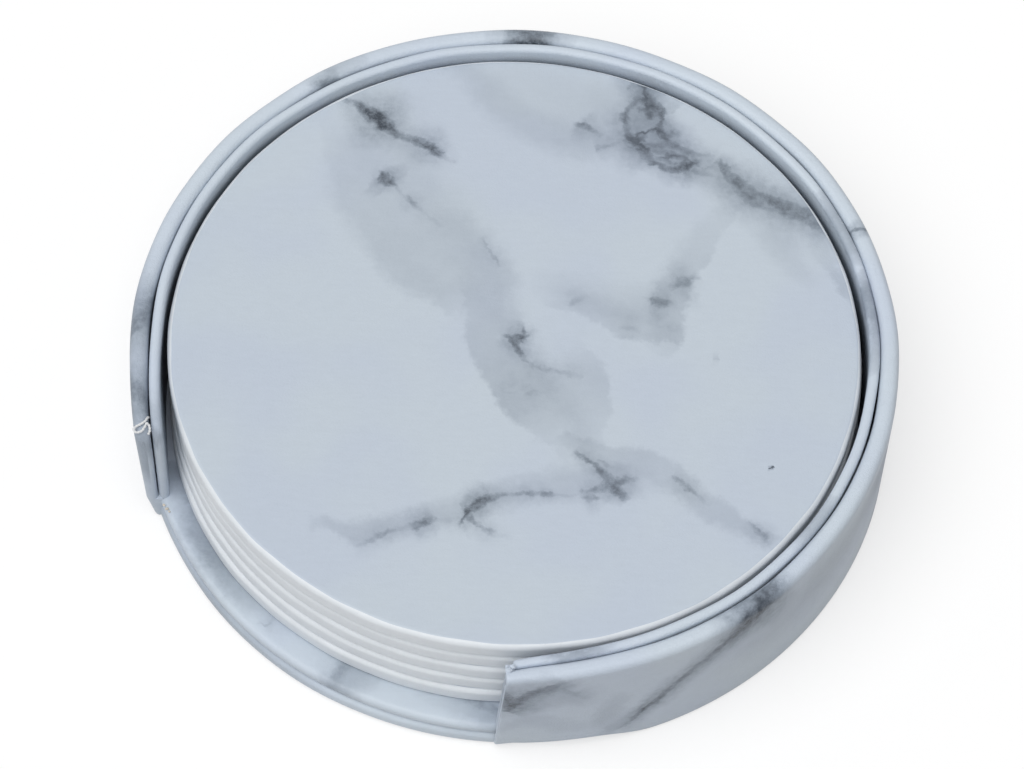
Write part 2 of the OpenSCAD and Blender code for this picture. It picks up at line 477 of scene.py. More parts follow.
def front_lean(d, share, z, skirt):
    """How far a ply leans out near its front end: the top goes off straight, and the foot keeps to the discs.

    The lean grows as w = ((9 - d) / 16)^2.6 and with the height's share h: w h (1.2 - 0.15 share) for the
    inner ply, and from 1.05 w h to w (0.9 h - 0.55) through the outer one.
    """
    w = np.clip((9 - d) / 16, 0, 1) ** 2.6
    high = np.clip(z / (size_of("wall_top") - FLOOR_Z), -0.3, 1)
    if not skirt:
        return w * np.clip(high, 0, 1) * (1.2 - 0.15 * share)
    inner = w * 1.05 * np.clip(high, 0, 1)
    outer = w * (-0.55 + 0.9 * high)
    return inner + (outer - inner) * share


def coaster_centre(n):
    """Centre of coaster n's underside in millimetres, read from its CAD edge."""
    low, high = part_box(f"coaster_{n}_edge")
    middle = (low + high) / 2
    return middle.x / MM, middle.y / MM, low.z / MM


def face_skin(n):
    """Printed face of one coaster: a thin disc whose cut edge droops over the rounded corner.

    The top is flat out to r = R - 0.9 and then follows a circle of radius 0.894 about (R - 0.9, t - 0.9). Its
    edge wanders along that circle as r(a) = R - 0.56 + waves(a).
    """
    x, y, z = coaster_centre(n)
    t = size_of("coaster_thickness")
    low, neck = t - size_of("face_skin"), t - 0.4
    low_r, neck_r = 48.9, 49.0
    corner = size_of("top_corner")
    bend_r = size_of("coaster_radius") - corner
    proud = corner - FACE_INSET
    flat = np.concatenate([[0], np.linspace(4, 44, 9), [46, 47.5, 48.4, bend_r]])
    a = np.linspace(0, 2 * np.pi, 480, endpoint=False)
    wide = np.ones(len(a))
    reach = 0.34 + waves(a, 60 + n, [2, 3, 7, 13, 23, 41], 0.05)
    lean = np.arcsin(np.linspace(0, 1, 5)[1:, None] * reach / corner)
    droop_r = bend_r + proud * np.sin(lean)
    droop_z = t - corner + proud * np.cos(lean)
    radius = np.concatenate([
        [0 * wide, low_r * wide, neck_r * wide, droop_r[-1] - 0.02], droop_r[::-1],
        flat[::-1, None] * wide,
    ])
    height = np.concatenate([
        [low * wide, low * wide, neck * wide, droop_z[-1] - 0.05], droop_z[::-1],
        (t - corner + proud) * np.ones((len(flat), len(a))),
    ])
    rings = np.stack([radius * np.cos(a) + x, radius * np.sin(a) + y, height + z], axis=-1)
    return skin(rings, first="pole", last="pole")


def seal_skin(n):
    """Sealed edge of one coaster: a band of paint round the layers with rounded corners.

    Its section is a quarter circle above and a smaller one below with the side between them, SEAL_INSET
    inside the coaster's height at both ends, and the side waves by a few hundredths of a millimetre.
    """
    x, y, z = coaster_centre(n)
    t, r = size_of("coaster_thickness"), size_of("coaster_radius")
    edge, low_edge = size_of("top_corner"), size_of("low_corner")
    inner = size_of("face_radius") - SEAL_INSET
    still = 0.42
    low, high = SEAL_INSET, t - SEAL_INSET
    profile = np.concatenate([
        [[inner, t - 0.3], [inner, high]], arc_points((r - edge, high - edge), edge, 90, 0, 10),
        arc_points((r - low_edge, low + low_edge), low_edge, 0, -90, 10), [[inner, low]],
    ])
    profile[:, 1] += z

    def wobble(a, radius, height):
        side = np.clip((radius - inner - still) / (r - inner - still), 0, 1)
        dr = side * waves(a, 40 + n, [2, 3, 5, 9, 17, 31], 0.04)
        return dr, side * waves(a, 80 + n, [3, 6, 11, 19], 0.02)

    return revolve(profile, turns=480, shift=(x, y), wobble=wobble, first="open", last="join")


def rim_wobble(dents, seed, orders, shift=0.0):
    """Unevenness of a disc's rim: dr = (r / 50)^3 (shift cos a + dents(a) + waves(a)), and nothing in height.

    A dent adds depth exp(-((a - bearing) / spread)^2).
    """
    def wobble(a, r, z):
        share = np.clip(r / 50, 0, 1) ** 3
        turn = np.degrees(a)
        dent = sum(depth * np.exp(-((turn - bearing) / spread) ** 2) for depth, bearing, spread in dents)
        return share * (shift * np.cos(a) + dent + waves(a, seed, orders, 0.02)), 0 * z

    return wobble


def cord(points, radius, lobes=0.0, pitch=0.5, around=10):
    """A thread or bead carried along a smooth curve through points, with rounded ends.

    The curve is a Catmull-Rom spline. A ring point is p(s) + r(s) (1 + lobes cos 2(b - 2 pi s / pitch))
    (n cos b + m sin b), with n and m square to the run, and r(s) falls along a quarter circle at both ends.
    """
    p = np.array(points, dtype=float)
    p = np.concatenate([[2 * p[0] - p[1]], p, [2 * p[-1] - p[-2]]])
    share = np.linspace(0, 1, 9)[:-1][:, None, None]
    a, b, c, d = p[:-3], p[1:-2], p[2:-1], p[3:]
    bend = (2 * a - 5 * b + 4 * c - d) * share ** 2 + (3 * b - a - 3 * c + d) * share ** 3
    run = 0.5 * (2 * b + (c - a) * share + bend)
    run = np.concatenate([run.transpose(1, 0, 2).reshape(-1, 3), [p[-2]]])
    ahead = np.gradient(run, axis=0)
    ahead /= np.linalg.norm(ahead, axis=1, keepdims=True)
    first = np.cross(ahead, [0.12, 0.23, 0.97])
    first /= np.linalg.norm(first, axis=1, keepdims=True)
    second = np.cross(ahead, first)
    s = np.concatenate([[0], np.cumsum(np.linalg.norm(np.diff(run, axis=0), axis=1))])
    near = np.minimum(s, s[-1] - s) / radius
    size = radius * np.sqrt(np.clip(1 - np.clip(1 - near, 0, 1) ** 2, 0.0, 1))
    turn = np.linspace(0, 2 * np.pi, around, endpoint=False)
    size = size[:, None] * (1 + lobes * np.cos(2 * (turn[None, :] - 2 * np.pi * s[:, None] / pitch)))
    ring = first[:, None, :] * np.cos(turn)[None, :, None] + second[:, None, :] * np.sin(turn)[None, :, None]
    return skin(run[:, None, :] + size[..., None] * ring, first="pole", last="pole")


def crumb(centre, size, seed, turn=0.0):
    """A crumpled bit of folded leatherette or glue.

    It is a ball stretched to size and turned about Z, whose radius is 1 + waves(2 a + 3 b) + waves(5 b - a)
    at longitude a and latitude b, fading towards the poles.
    """
    a = np.linspace(0, 2 * np.pi, 28, endpoint=False)[None, :]
    lift = np.radians(np.linspace(-90, 90, 17))[:, None]
    ripple = waves(2 * a + 3 * lift, seed, [1, 2, 3], 0.13) + waves(5 * lift - a, seed + 1, [1, 2], 0.09)
    r = 1 + ripple * np.cos(lift)
    x = r * np.cos(lift) * np.cos(a) * size[0]
    y = r * np.cos(lift) * np.sin(a) * size[1]
    z = r * np.sin(lift) * np.ones_like(a) * size[2]
    c, s = math.cos(turn), math.sin(turn)
    rings = np.stack([x * c - y * s + centre[0], x * s + y * c + centre[1], z + centre[2]], axis=-1)
    return skin(rings, first="pole", last="pole")


class Sheet:
    """Adds nodes to one node tree and links them, taking sockets or plain values as inputs."""

    def __init__(self, tree):
        self.tree = tree

    def put(self, socket, value):
        """Links a socket, or sets a plain value."""
        if isinstance(value, bpy.types.NodeSocket):
            self.tree.links.new(value, socket)
        elif value is not None:
            socket.default_value = value

    def node(self, kind, inputs=None, **settings):
        """A node with its settings and inputs."""
        node = self.tree.nodes.new(kind)
        for key, value in settings.items():
            setattr(node, key, value)
        for key, value in (inputs or {}).items():
            self.put(node.inputs[key], value)
        return node

    def math(self, operation, a, b=None, c=None, clamp=False):
        """One sum on numbers."""
        node = self.node("ShaderNodeMath", operation=operation, use_clamp=clamp)
        for socket, value in zip(node.inputs, (a, b, c)):
            self.put(socket, value)
        return node.outputs[0]

    def times(self, a, b):
        """The product of two numbers."""
        return self.math("MULTIPLY", a, b)

    def scaled(self, value, factor, offset, clamp=False):
        """A number times a factor plus an offset."""
        return self.math("MULTIPLY_ADD", value, factor, offset, clamp)

    def vector(self, operation, a, b=None, scale=None):
        """One sum on vectors."""
        node = self.node("ShaderNodeVectorMath", operation=operation)
        self.put(node.inputs[0], a)
        if b is not None:
            self.put(node.inputs[1], b)
        if scale is not None:
            self.put(node.inputs["Scale"], scale)
        return node.outputs["Value" if operation in ("DOT_PRODUCT", "LENGTH", "DISTANCE") else "Vector"]

    def stretched(self, place, factors):
        """A place, with each coordinate times its own factor."""
        return self.vector("MULTIPLY", place, factors)

    def radius(self, place):
        """Distance of a place from the Z axis."""
        return self.vector("LENGTH", self.stretched(place, (1.0, 1.0, 0.0)))

    def split(self, place):
        """The three coordinates of a place."""
        return self.node("ShaderNodeSeparateXYZ", {"Vector": place}).outputs

    def step(self, value, low, high, to_low=0.0, to_high=1.0):
        """Smooth step of a value from low to high."""
        node = self.node("ShaderNodeMapRange", interpolation_type="SMOOTHSTEP")
        for socket, item in zip(node.inputs, (value, low, high, to_low, to_high)):
            self.put(socket, item)
        return node.outputs["Result"]

    def noise(self, place, scale, detail=2.0, roughness=0.5, distortion=0.0, coloured=False):
        """Noise whose scale is in features per millimetre."""
        node = self.node("ShaderNodeTexNoise", {
            "Vector": place, "Scale": scale, "Detail": detail, "Roughness": roughness,
            "Distortion": distortion,
        })
        return node.outputs["Color" if coloured else "Fac"]

    def mix(self, share, a, b, blend="MIX"):
        """Mix of two colours."""
        node = self.node("ShaderNodeMix", data_type="RGBA", blend_type=blend)
        self.put(node.inputs["Factor"], share)
        sockets = [socket for socket in node.inputs if socket.type == "RGBA"]
        for socket, value in zip(sockets, (a, b)):
            self.put(socket, (*value, 1) if isinstance(value, tuple) else value)
        return [socket for socket in node.outputs if socket.type == "RGBA"][0]

    def place(self, turn=0.0, shift=(0, 0, 0)):
        """The piece's own coordinates in millimetres, shifted and turned about Z."""
        return self.node("ShaderNodeMapping", {
            "Vector": self.node("ShaderNodeTexCoord").outputs["Object"], "Location": shift,
            "Rotation": (0, 0, turn), "Scale": (1000, 1000, 1000),
        }).outputs["Vector"]

    def bump(self, shader, height, depth):
        """Bumps of a depth in millimetres on a shader."""
        node = self.node("ShaderNodeBump", {"Strength": 0.55, "Distance": depth * MM, "Height": height})
        self.put(shader.inputs["Normal"], node.outputs["Normal"])

    def printed(self, group, place):
        """Darkness of a marble print at a place."""
        node = self.node("ShaderNodeGroup", node_tree=group)
        self.put(node.inputs["Place"], place)
        return node.outputs["Darkness"]


def new_group(name, takes, gives):
    """A new node group's sheet, inputs and outputs; takes and gives are its sockets as (name, kind)."""
    group = bpy.data.node_groups.new(name, "ShaderNodeTree")
    for way, sockets in (("INPUT", takes), ("OUTPUT", gives)):
        for title, kind in sockets:
            group.interface.new_socket(title, in_out=way, socket_type="NodeSocket" + kind)
    sheet = Sheet(group)
    return sheet, sheet.node("NodeGroupInput").outputs, sheet.node("NodeGroupOutput").inputs


def line_place_group():
    """Node group: the share along a line's chord and the distance beside it, in half widths, of a place."""
    takes = [(name, "Vector") for name in ("Place", "Start", "Along", "Beside")]
    sheet, start, end = new_group("place along a line", takes, [("Share", "Color"), ("Aside", "Float")])
    from_start = sheet.vector("SUBTRACT", start["Place"], start["Start"])
    share = sheet.vector("DOT_PRODUCT", from_start, start["Along"])
    grey = sheet.node("ShaderNodeCombineColor", {"Red": share, "Green": share, "Blue": share})
    sheet.put(end["Share"], grey.outputs["Color"])
    sheet.put(end["Aside"], sheet.vector("DOT_PRODUCT", from_start, start["Beside"]))


def line_cover_group():
    """Node group: the darkness of a brushed line with a halo, from its curves and the distance beside it."""
    numbers = ("Aside", "Low", "Spread", "Shown", "Left", "Right", "Halo")
    takes = [("Curves", "Color"), *((name, "Float") for name in numbers)]
    sheet, start, end = new_group("brushed line", takes, [("Darkness", "Float")])
    parts = sheet.node("ShaderNodeSeparateColor", {"Color": start["Curves"]}).outputs
    aside = sheet.math("SUBTRACT", start["Aside"], start["Low"])
    away = sheet.math("SUBTRACT", aside, sheet.times(parts[0], start["Spread"]))
    e = sheet.math("DIVIDE", away, sheet.math("MAXIMUM", parts[1], 0.02))
    left = sheet.step(e, 1, start["Left"])
    right = sheet.step(e, -1, start["Right"])
    cover = sheet.times(left, right)
    halo = sheet.times(sheet.step(sheet.math("ABSOLUTE", e), 2.8, 0.3), start["Halo"])
    cover = sheet.math("MAXIMUM", cover, halo)
    sheet.put(end["Darkness"], sheet.times(cover, sheet.times(parts[2], start["Shown"])))


def stroke(sheet, place, points, soft=(0.95, 0.95), halo=0.0, wider=1.0):
    """Darkness of one brushed line through points (x, y, half width, darkness), in millimetres.

    Along the line's chord the share u = (p - p0).D / L goes through three curves, which give the line's
    offset c(u), half width w(u) and darkness s(u). With e = ((p - p0).N - c) / w, where N points to the
    left of the way from the first point to the last, the darkness is s step(e from 1 to 1 - soft[0]) step(e
    from -1 to -1 + soft[1]), or the halo where that is more.
    """
    points = np.array(points, dtype=float)
    points[:, 2] *= wider
    chord = points[-1, :2] - points[0, :2]
    length = np.hypot(*chord)
    along = chord / length
    beside = np.array([-along[1], along[0]])
    margin = max(0.25, 0.6 * max(points[0, 2], points[-1, 2]))
    start = points[0, :2] - along * margin
    total = length + 2 * margin
    u = (points[:, :2] - start) @ along / total
    v = (points[:, :2] - start) @ beside
    low, high = v.min() - 0.01, v.max() + 0.01
    widest = points[:, 2].max()
    shown = points[:, 3].max()
    where = sheet.node("ShaderNodeGroup", node_tree=bpy.data.node_groups["place along a line"])
    for key, value in (("Start", start), ("Along", along / total), ("Beside", beside / widest)):
        where.inputs[key].default_value = (*value, 0)
    sheet.put(where.inputs["Place"], place)
    curves = sheet.node("ShaderNodeRGBCurve", {"Color": where.outputs["Share"]})
    mapping = curves.mapping
    mapping.extend = "HORIZONTAL"
    tables = (
        [(0, v[0]), *zip(u, v), (1, v[-1])],
        [(0, points[0, 2]), *zip(u, points[:, 2]), (1, points[-1, 2])],
        [(0, 0), *zip(u, points[:, 3]), (1, 0)],
    )
    scales = ((low, high - low), (0, widest), (0, shown))
    for curve, table, (origin, span) in zip(mapping.curves, tables, scales):
        for i, (x, y) in enumerate(table):
            value = min(max((y - origin) / span, 0), 1)
            if i in (0, len(table) - 1):
                point = curve.points[0 if i == 0 else -1]
                point.location = (x, value)
            else:
                point = curve.points.new(x, value)
            point.handle_type = "AUTO_CLAMPED"
    mapping.update()
    cover = sheet.node("ShaderNodeGroup", {
        "Curves": curves.outputs["Color"], "Aside": where.outputs["Aside"], "Low": low / widest,
        "Spread": (high - low) / widest, "Shown": shown, "Left": 1 - soft[0], "Right": -1 + soft[1],
        "Halo": halo,
    }, node_tree=bpy.data.node_groups["brushed line"])
    return cover.outputs["Darkness"]


def darker(sheet, values):
    """Joins darkness values to 1 - (1 - a)(1 - b)... , each as soon as it is made."""
    total = None
    for value in values:
        if total is None:
            total = value
        else:
            product = sheet.times(total, value)
            total = sheet.math("SUBTRACT", sheet.math("ADD", total, value), product)
    return total


def darkest(sheet, values):
    """The greatest of several darkness values."""
    total = None
    for value in values:
        total = value if total is None else sheet.math("MAXIMUM", total, value)
    return total


# Brushed lines of the print on a coaster: (x, y, half width, darkness) in millimetres from the middle
# A cloud starts with how soft its left and right sides are, as shares of its half width
TOP_CLOUDS = [
    ((0.6, 0.28), [(-26.6, 39, 6, 0.02), (-22.8, 32, 9, 0.075), (-18.6, 23.5, 10, 0.085),
        (-13.6, 15.2, 9.4, 0.12), (-9.2, 9, 6.6, 0.11), (-6.5, 5.5, 4, 0.03)]),
    ((1, 0.3), [(-25.5, 36, 4, 0.01), (-25.4, 31, 4.6, 0.03), (-23.6, 26.5, 4.8, 0.04),
        (-21.8, 22.5, 4.6, 0.04), (-18.2, 16, 4.4, 0.05), (-14.6, 10.6, 4, 0.05), (-9.5, 7, 2.6, 0.02)]),
    ((0.85, 0.9), [(-25, 45, 6, 0.03), (-21, 38, 8, 0.06), (-18, 31, 9, 0.05), (-14, 25, 9, 0.05),
        (-9.5, 19, 8, 0.06), (-5.5, 12, 6.6, 0.07), (-3.5, 5, 6.5, 0.05), (0.5, -3, 7.5, 0.02)]),
    ((0.9, 0.9), [(-10, 22, 3.6, 0.04), (-7.5, 18.5, 3.8, 0.09), (-4.6, 14.5, 3.8, 0.1),
        (-2.4, 10.5, 3.4, 0.07)]),
    ((0.8, 0.22), [(-4.5, 12, 4.8, 0.04), (-3.6, 7, 5.4, 0.11), (-3, 3, 5.6, 0.15), (-1.8, 0, 5.6, 0.17),
        (0.2, -4, 6, 0.23), (2.8, -7.5, 6.2, 0.27), (5.6, -11, 6, 0.17), (7.8, -13.8, 5.2, 0.1),
        (10, -16.4, 4, 0.07)]),
    ((0.3, 1), [(7, 0.5, 3, 0.02), (9, -2.6, 3.8, 0.11), (9.9, -6, 4.3, 0.15), (10.2, -9.5, 4.3, 0.13),
        (10.4, -12.8, 4.1, 0.09), (10.8, -16, 3.4, 0.06)]),
    ((0.9, 0.9), [(4.5, -3.5, 3, 0.03), (6, -7, 3.6, 0.04), (8, -11.5, 3.2, 0.03)]),
    ((0.9, 0.9), [(-12, 50, 4.4, 0.1), (-6, 44, 4.8, 0.14), (-1, 39.5, 5.2, 0.15), (4, 37.2, 5.4, 0.17),
        (10, 36, 5.6, 0.2), (15.5, 35, 5, 0.2)]),
    ((0.9, 0.9), [(-3, 47.5, 7, 0.05), (6, 44, 7.5, 0.09), (13, 41, 7, 0.16)]),
    ((0.7, 0.9), [(15.4, 48, 5, 0.26), (16.8, 42, 6.2, 0.3), (18.6, 37, 6.6, 0.32),
        (23.5, 33.4, 5.4, 0.27), (29, 30.6, 4.8, 0.24), (34.5, 27.4, 4.6, 0.26), (39.5, 25.2, 4.4, 0.27),
        (45.5, 22.2, 4, 0.26)]),
    ((0.9, 0.9), [(16.5, 46, 3.4, 0.14), (18, 41, 4, 0.2), (19.6, 36.5, 4, 0.2), (22.5, 34, 3.4, 0.16),
        (27, 32.6, 2.8, 0.07)]),
    ((1, 0.3), [(5, 9, 2.8, 0.05), (9, 8.2, 3.4, 0.12), (13, 6.6, 3.6, 0.14), (17, 5, 3.8, 0.16),
        (20.5, 4, 3.4, 0.16), (23, 3.8, 2.2, 0.12)]),
    ((1, 0.3), [(20.3, 1.2, 3, 0.08), (21, 6, 3.6, 0.18), (21.9, 10, 3.8, 0.21), (23.2, 14, 3.6, 0.16),
        (25, 18.5, 3.4, 0.11), (27.2, 22.5, 3, 0.08), (30, 26, 2.6, 0.04)]),
    ((0.9, 0.9), [(4, 11, 3, 0.05), (10, 9.4, 4.6, 0.08), (16.5, 7.8, 5.4, 0.11), (21.5, 10.5, 4.8, 0.08)]),
    ((0.8, 0.8), [(-26, -31.2, 2, 0.1), (-21.5, -32.8, 2.6, 0.17), (-17, -31.6, 2.8, 0.16),
        (-12.5, -30, 2.9, 0.17), (-8, -28.6, 3.4, 0.18), (-3.5, -26.6, 3.8, 0.19), (2, -24.4, 3.6, 0.14),
        (9, -22.8, 4.4, 0.15), (14.5, -22.4, 4.6, 0.19), (19.5, -22, 3, 0.06)]),
    ((0.5, 0.8), [(7.5, -15.5, 1.8, 0.12), (11.5, -17.5, 2.9, 0.15), (16, -18.8, 3.4, 0.16),
        (20.5, -20, 3.4, 0.14), (24.5, -22.6, 2.9, 0.14), (29, -25.8, 2.7, 0.16), (33, -28.2, 2.5, 0.16),
        (37.6, -30.8, 1.8, 0.1)]),
    ((0.9, 0.9), [(33, 25, 3, 0.05), (38, 19, 3.8, 0.11), (42, 13.5, 2.8, 0.04)]),
    ((0.8, 0.8), [(42.5, 21.5, 2, 0.07), (45, 16.5, 1.8, 0.12), (46.8, 13, 1.6, 0.18),
        (48.8, 10.2, 1.4, 0.1)]),
]
TOP_VEINS = [
    [(-28.6, 41.9, 0.5, 0.12), (-26, 40.8, 1, 0.4), (-24, 39.5, 1.5, 0.62), (-22, 38, 1.9, 0.76),
     (-20.6, 36.8, 1.7, 0.66), (-19, 35.3, 1.2, 0.42)],
    [(-19.4, 35.6, 0.9, 0.3), (-16.5, 34.5, 1.2, 0.46), (-14.6, 33.7, 1.3, 0.62), (-13, 32.8, 1, 0.55),
     (-11.8, 31.8, 0.8, 0.18), (-10.6, 31.2, 0.5, 0.1)],
    [(-21.4, 28.8, 0.5, 0.2), (-20.5, 27.3, 1.3, 0.6), (-19, 26.4, 0.7, 0.38), (-17.9, 25, 0.5, 0.12),
     (-16.6, 23.7, 0.8, 0.28), (-15, 22, 0.5, 0.12), (-12, 19.6, 0.5, 0.06)],
    [(-21.6, 26.4, 0.4, 0.2), (-21, 27, 0.7, 0.4), (-20.2, 28.2, 0.7, 0.3)],
    [(-5.8, 17.9, 0.35, 0.1), (-5, 16.5, 0.45, 0.18), (-4.2, 15, 0.45, 0.2), (-3.1, 13.1, 0.4, 0.08)],
    [(16.2, 46.8, 1, 0.2), (15.2, 43, 1.2, 0.3), (14.2, 40.7, 1.1, 0.5), (14.6, 39, 0.9, 0.4),
     (15.5, 37, 1, 0.42), (17, 35.4, 1.1, 0.5), (17.6, 34, 1, 0.4), (18.8, 32.8, 1, 0.45),
     (20.4, 31.9, 0.8, 0.38)],
    [(18.4, 33, 0.7, 0.3), (20, 32, 0.9, 0.45), (22, 31.8, 0.9, 0.5), (23.8, 32.4, 1.2, 0.62),
     (25.6, 33.5, 0.9, 0.25)],
    [(16.8, 46.2, 1.2, 0.35), (18.2, 43.9, 1.4, 0.45), (19.9, 41.9, 1.4, 0.52), (19.5, 40.1, 1, 0.45),
     (20, 38.2, 1, 0.42), (21, 36.7, 1.1, 0.42), (23, 35.7, 1, 0.35), (25.5, 34.8, 1, 0.2),
     (27.6, 34.4, 0.8, 0.1)],
    [(15.6, 36.7, 0.7, 0.2), (18, 36.1, 0.8, 0.3), (20, 36.2, 0.8, 0.35), (22.4, 36.4, 0.7, 0.2)],
    [(16.8, 35.3, 0.7, 0.25), (20, 35, 0.8, 0.25), (22, 34.5, 0.8, 0.35), (24.2, 33.6, 0.8, 0.25)],
    [(7.3, 39.3, 0.7, 0.2), (8.3, 39.1, 1.1, 0.42), (9.6, 38.2, 0.8, 0.25), (11, 37.2, 0.5, 0.1)],
    [(10.8, 35, 0.7, 0.2), (12.4, 35.6, 0.6, 0.15), (14.6, 36.5, 0.5, 0.1)],
    [(24.4, 31.9, 0.8, 0.25), (26.6, 31.4, 0.7, 0.2), (28.6, 31, 0.6, 0.1)],
    [(28.4, 33.7, 0.8, 0.3), (30, 31.7, 1.2, 0.46), (31.5, 30, 1.6, 0.46), (33, 28.3, 1.9, 0.44),
     (34.5, 26.9, 1.6, 0.35), (36, 25.8, 1.2, 0.25), (37.8, 25, 0.8, 0.2)],
    [(32.6, 28.6, 0.8, 0.2), (35, 28, 1.3, 0.38), (37, 26.9, 1.5, 0.48), (39, 25.8, 1.9, 0.44),
     (41, 25, 2, 0.4), (44, 23.4, 1.7, 0.32)],
    [(25.6, 13, 0.8, 0.12), (23.8, 12, 1.5, 0.33), (22, 11.2, 0.9, 0.12)],
    [(18.8, 8.8, 0.7, 0.15), (20.3, 8.4, 1.3, 0.4), (22.4, 8.2, 0.9, 0.12)],
    [(7.4, 7, 0.5, 0.12), (8.2, 7.9, 0.9, 0.18), (10, 8.8, 0.8, 0.05)],
    [(15, 3.9, 0.6, 0.05), (16.2, 3.7, 0.9, 0.14), (17.6, 3.4, 0.6, 0.05)],
    [(-2, 1, 0.6, 0.15), (-0.6, 0.6, 1, 0.55), (0.6, 1.1, 1.2, 0.55), (1.7, 1.5, 0.8, 0.2)],
    [(0.9, 2.8, 0.5, 0.2), (0.5, 1.6, 0.9, 0.5), (-0.2, 0.5, 0.9, 0.55), (0.1, -0.4, 0.7, 0.5),
     (0.6, -1.6, 0.6, 0.42), (1.5, -2.9, 0.5, 0.2), (2.6, -3.6, 0.6, 0.2)],
    [(2.4, -3.6, 0.5, 0.15), (4.5, -4.1, 0.7, 0.2), (6.5, -4.3, 0.7, 0.2), (9.4, -4.9, 0.8, 0.1)],
    [(1.6, -8.6, 0.4, 0.08), (2.4, -8.2, 0.6, 0.14), (3, -7.8, 0.4, 0.06)],
    [(-20.8, -34.8, 0.7, 0.12), (-19, -33.8, 0.7, 0.22), (-17.5, -32.8, 0.8, 0.26), (-16, -31.9, 0.7, 0.22),
     (-14, -31.4, 0.8, 0.16), (-12.6, -30.9, 0.9, 0.4), (-11, -30.2, 0.9, 0.44), (-9.6, -29.9, 0.6, 0.1),
     (-7.5, -29.8, 0.6, 0.12), (-6, -29.5, 0.7, 0.2)],
    [(-6.7, -30.3, 0.5, 0.2), (-5.9, -29, 1.1, 0.55), (-5.3, -28, 1.2, 0.6), (-4, -27, 1.2, 0.6),
     (-2.5, -26, 0.9, 0.44), (-1, -25.4, 0.6, 0.3), (1, -25, 0.5, 0.25), (2.7, -24.8, 0.6, 0.36),
     (4, -24.7, 0.45, 0.2), (5.2, -24.6, 0.6, 0.35), (7, -24.7, 0.4, 0.12), (9.5, -24.9, 0.4, 0.1),
     (11.6, -24.9, 0.9, 0.35), (13.2, -25, 0.5, 0.08)],
    [(-5.4, -29.2, 0.9, 0.4), (-4, -30.3, 0.7, 0.35), (-2.6, -31.1, 0.7, 0.3), (-1, -31.8, 0.8, 0.1),
     (0.6, -32.1, 0.6, 0.04)],
    [(9.4, -17.5, 0.4, 0.26), (11, -18.7, 0.6, 0.4), (12.5, -20, 0.7, 0.44), (13.5, -21.3, 0.9, 0.42),
     (14.4, -22.5, 1.2, 0.48), (15.3, -23.5, 1.2, 0.5), (16.6, -24.8, 0.7, 0.3)],
    [(12.5, -18.6, 0.35, 0.2), (13.7, -19.3, 0.4, 0.24), (14.3, -20.2, 0.4, 0.08)],
    [(10.6, -24.2, 0.7, 0.25), (12.6, -23.6, 0.9, 0.35), (14.6, -22.6, 0.9, 0.4), (16.4, -21.7, 1, 0.35),
     (18, -21.5, 0.6, 0.12)],
    [(23.2, -20.8, 0.45, 0.18), (25, -22.2, 0.7, 0.3), (26.5, -23.4, 0.6, 0.22), (28.2, -24.8, 0.5, 0.07)],
    [(34, -27.6, 0.6, 0.1), (35.9, -29.3, 0.8, 0.3), (37, -30.8, 0.6, 0.1)],
    [(36.6, -18.5, 0.16, 0.8), (36.95, -18.5, 0.16, 0.8)],
    [(28.4, -0.7, 0.4, 0.12), (29, -0.7, 0.4, 0.12)],
]

# Brushed lines on the outer ply: (length along the wall, length out over its top and down, ...)
OUTER_CLOUDS = [
    ((0.6, 0.9), [(-7.5, 9, 5, 0.18), (-4, 8, 5, 0.2), (1, 6.5, 5, 0.15), (5, 8, 4, 0.08)]),
    ((0.9, 0.9), [(-6.2, 8.6, 1.8, 0.16), (-3.6, 6, 2, 0.24), (0, 4.4, 2, 0.24), (3.4, 3, 1.8, 0.1)]),
    ((0.9, 0.9), [(-7, 16, 3, 0.06), (-3, 14, 3.4, 0.13), (2, 16, 3, 0.1), (6, 17, 2.4, 0.05)]),
    ((0.9, 0.9), [(7.3, 18.5, 2.4, 0.08), (8, 14, 2.8, 0.16), (9.2, 10, 2.4, 0.08)]),
    ((0.8, 0.8), [(34, -0.8, 3.4, 0.16), (30, 1.5, 4, 0.34), (26, 5, 3.4, 0.28), (21, 8.5, 2.6, 0.16),
        (15, 13, 2.4, 0.14), (9, 19, 2.2, 0.14), (6, 23, 1.5, 0.08)]),
    # This wide cloud half way down the face, from 24 to 84 along the wall, is painted shade on the right of
    # the wall, away from the lamp
    ((0.9, 0.9), [(24, 9, 10, 0.06), (34, 9, 10, 0.18), (48, 9, 10, 0.24), (66, 9, 10, 0.22),
        (84, 9, 10, 0.1)]),
    ((0.8, 0.8), [(152, 0.4, 2.5, 0.15), (157.5, -0.2, 3.5, 0.3), (163, 0.5, 2.5, 0.15)]),
    ((0.4, 0.4), [(233.6, 3, 12, 0.12), (238, 3, 12, 0.23), (246, 3, 12, 0.22), (252, 3, 12, 0.26),
        (257, 3, 12, 0.3), (264, 3, 12, 0.34)]),
    ((0.9, 0.9), [(183, 0.6, 2, 0.12), (186.6, 0.3, 2.2, 0.2), (190.5, -0.6, 2, 0.12)]),
]
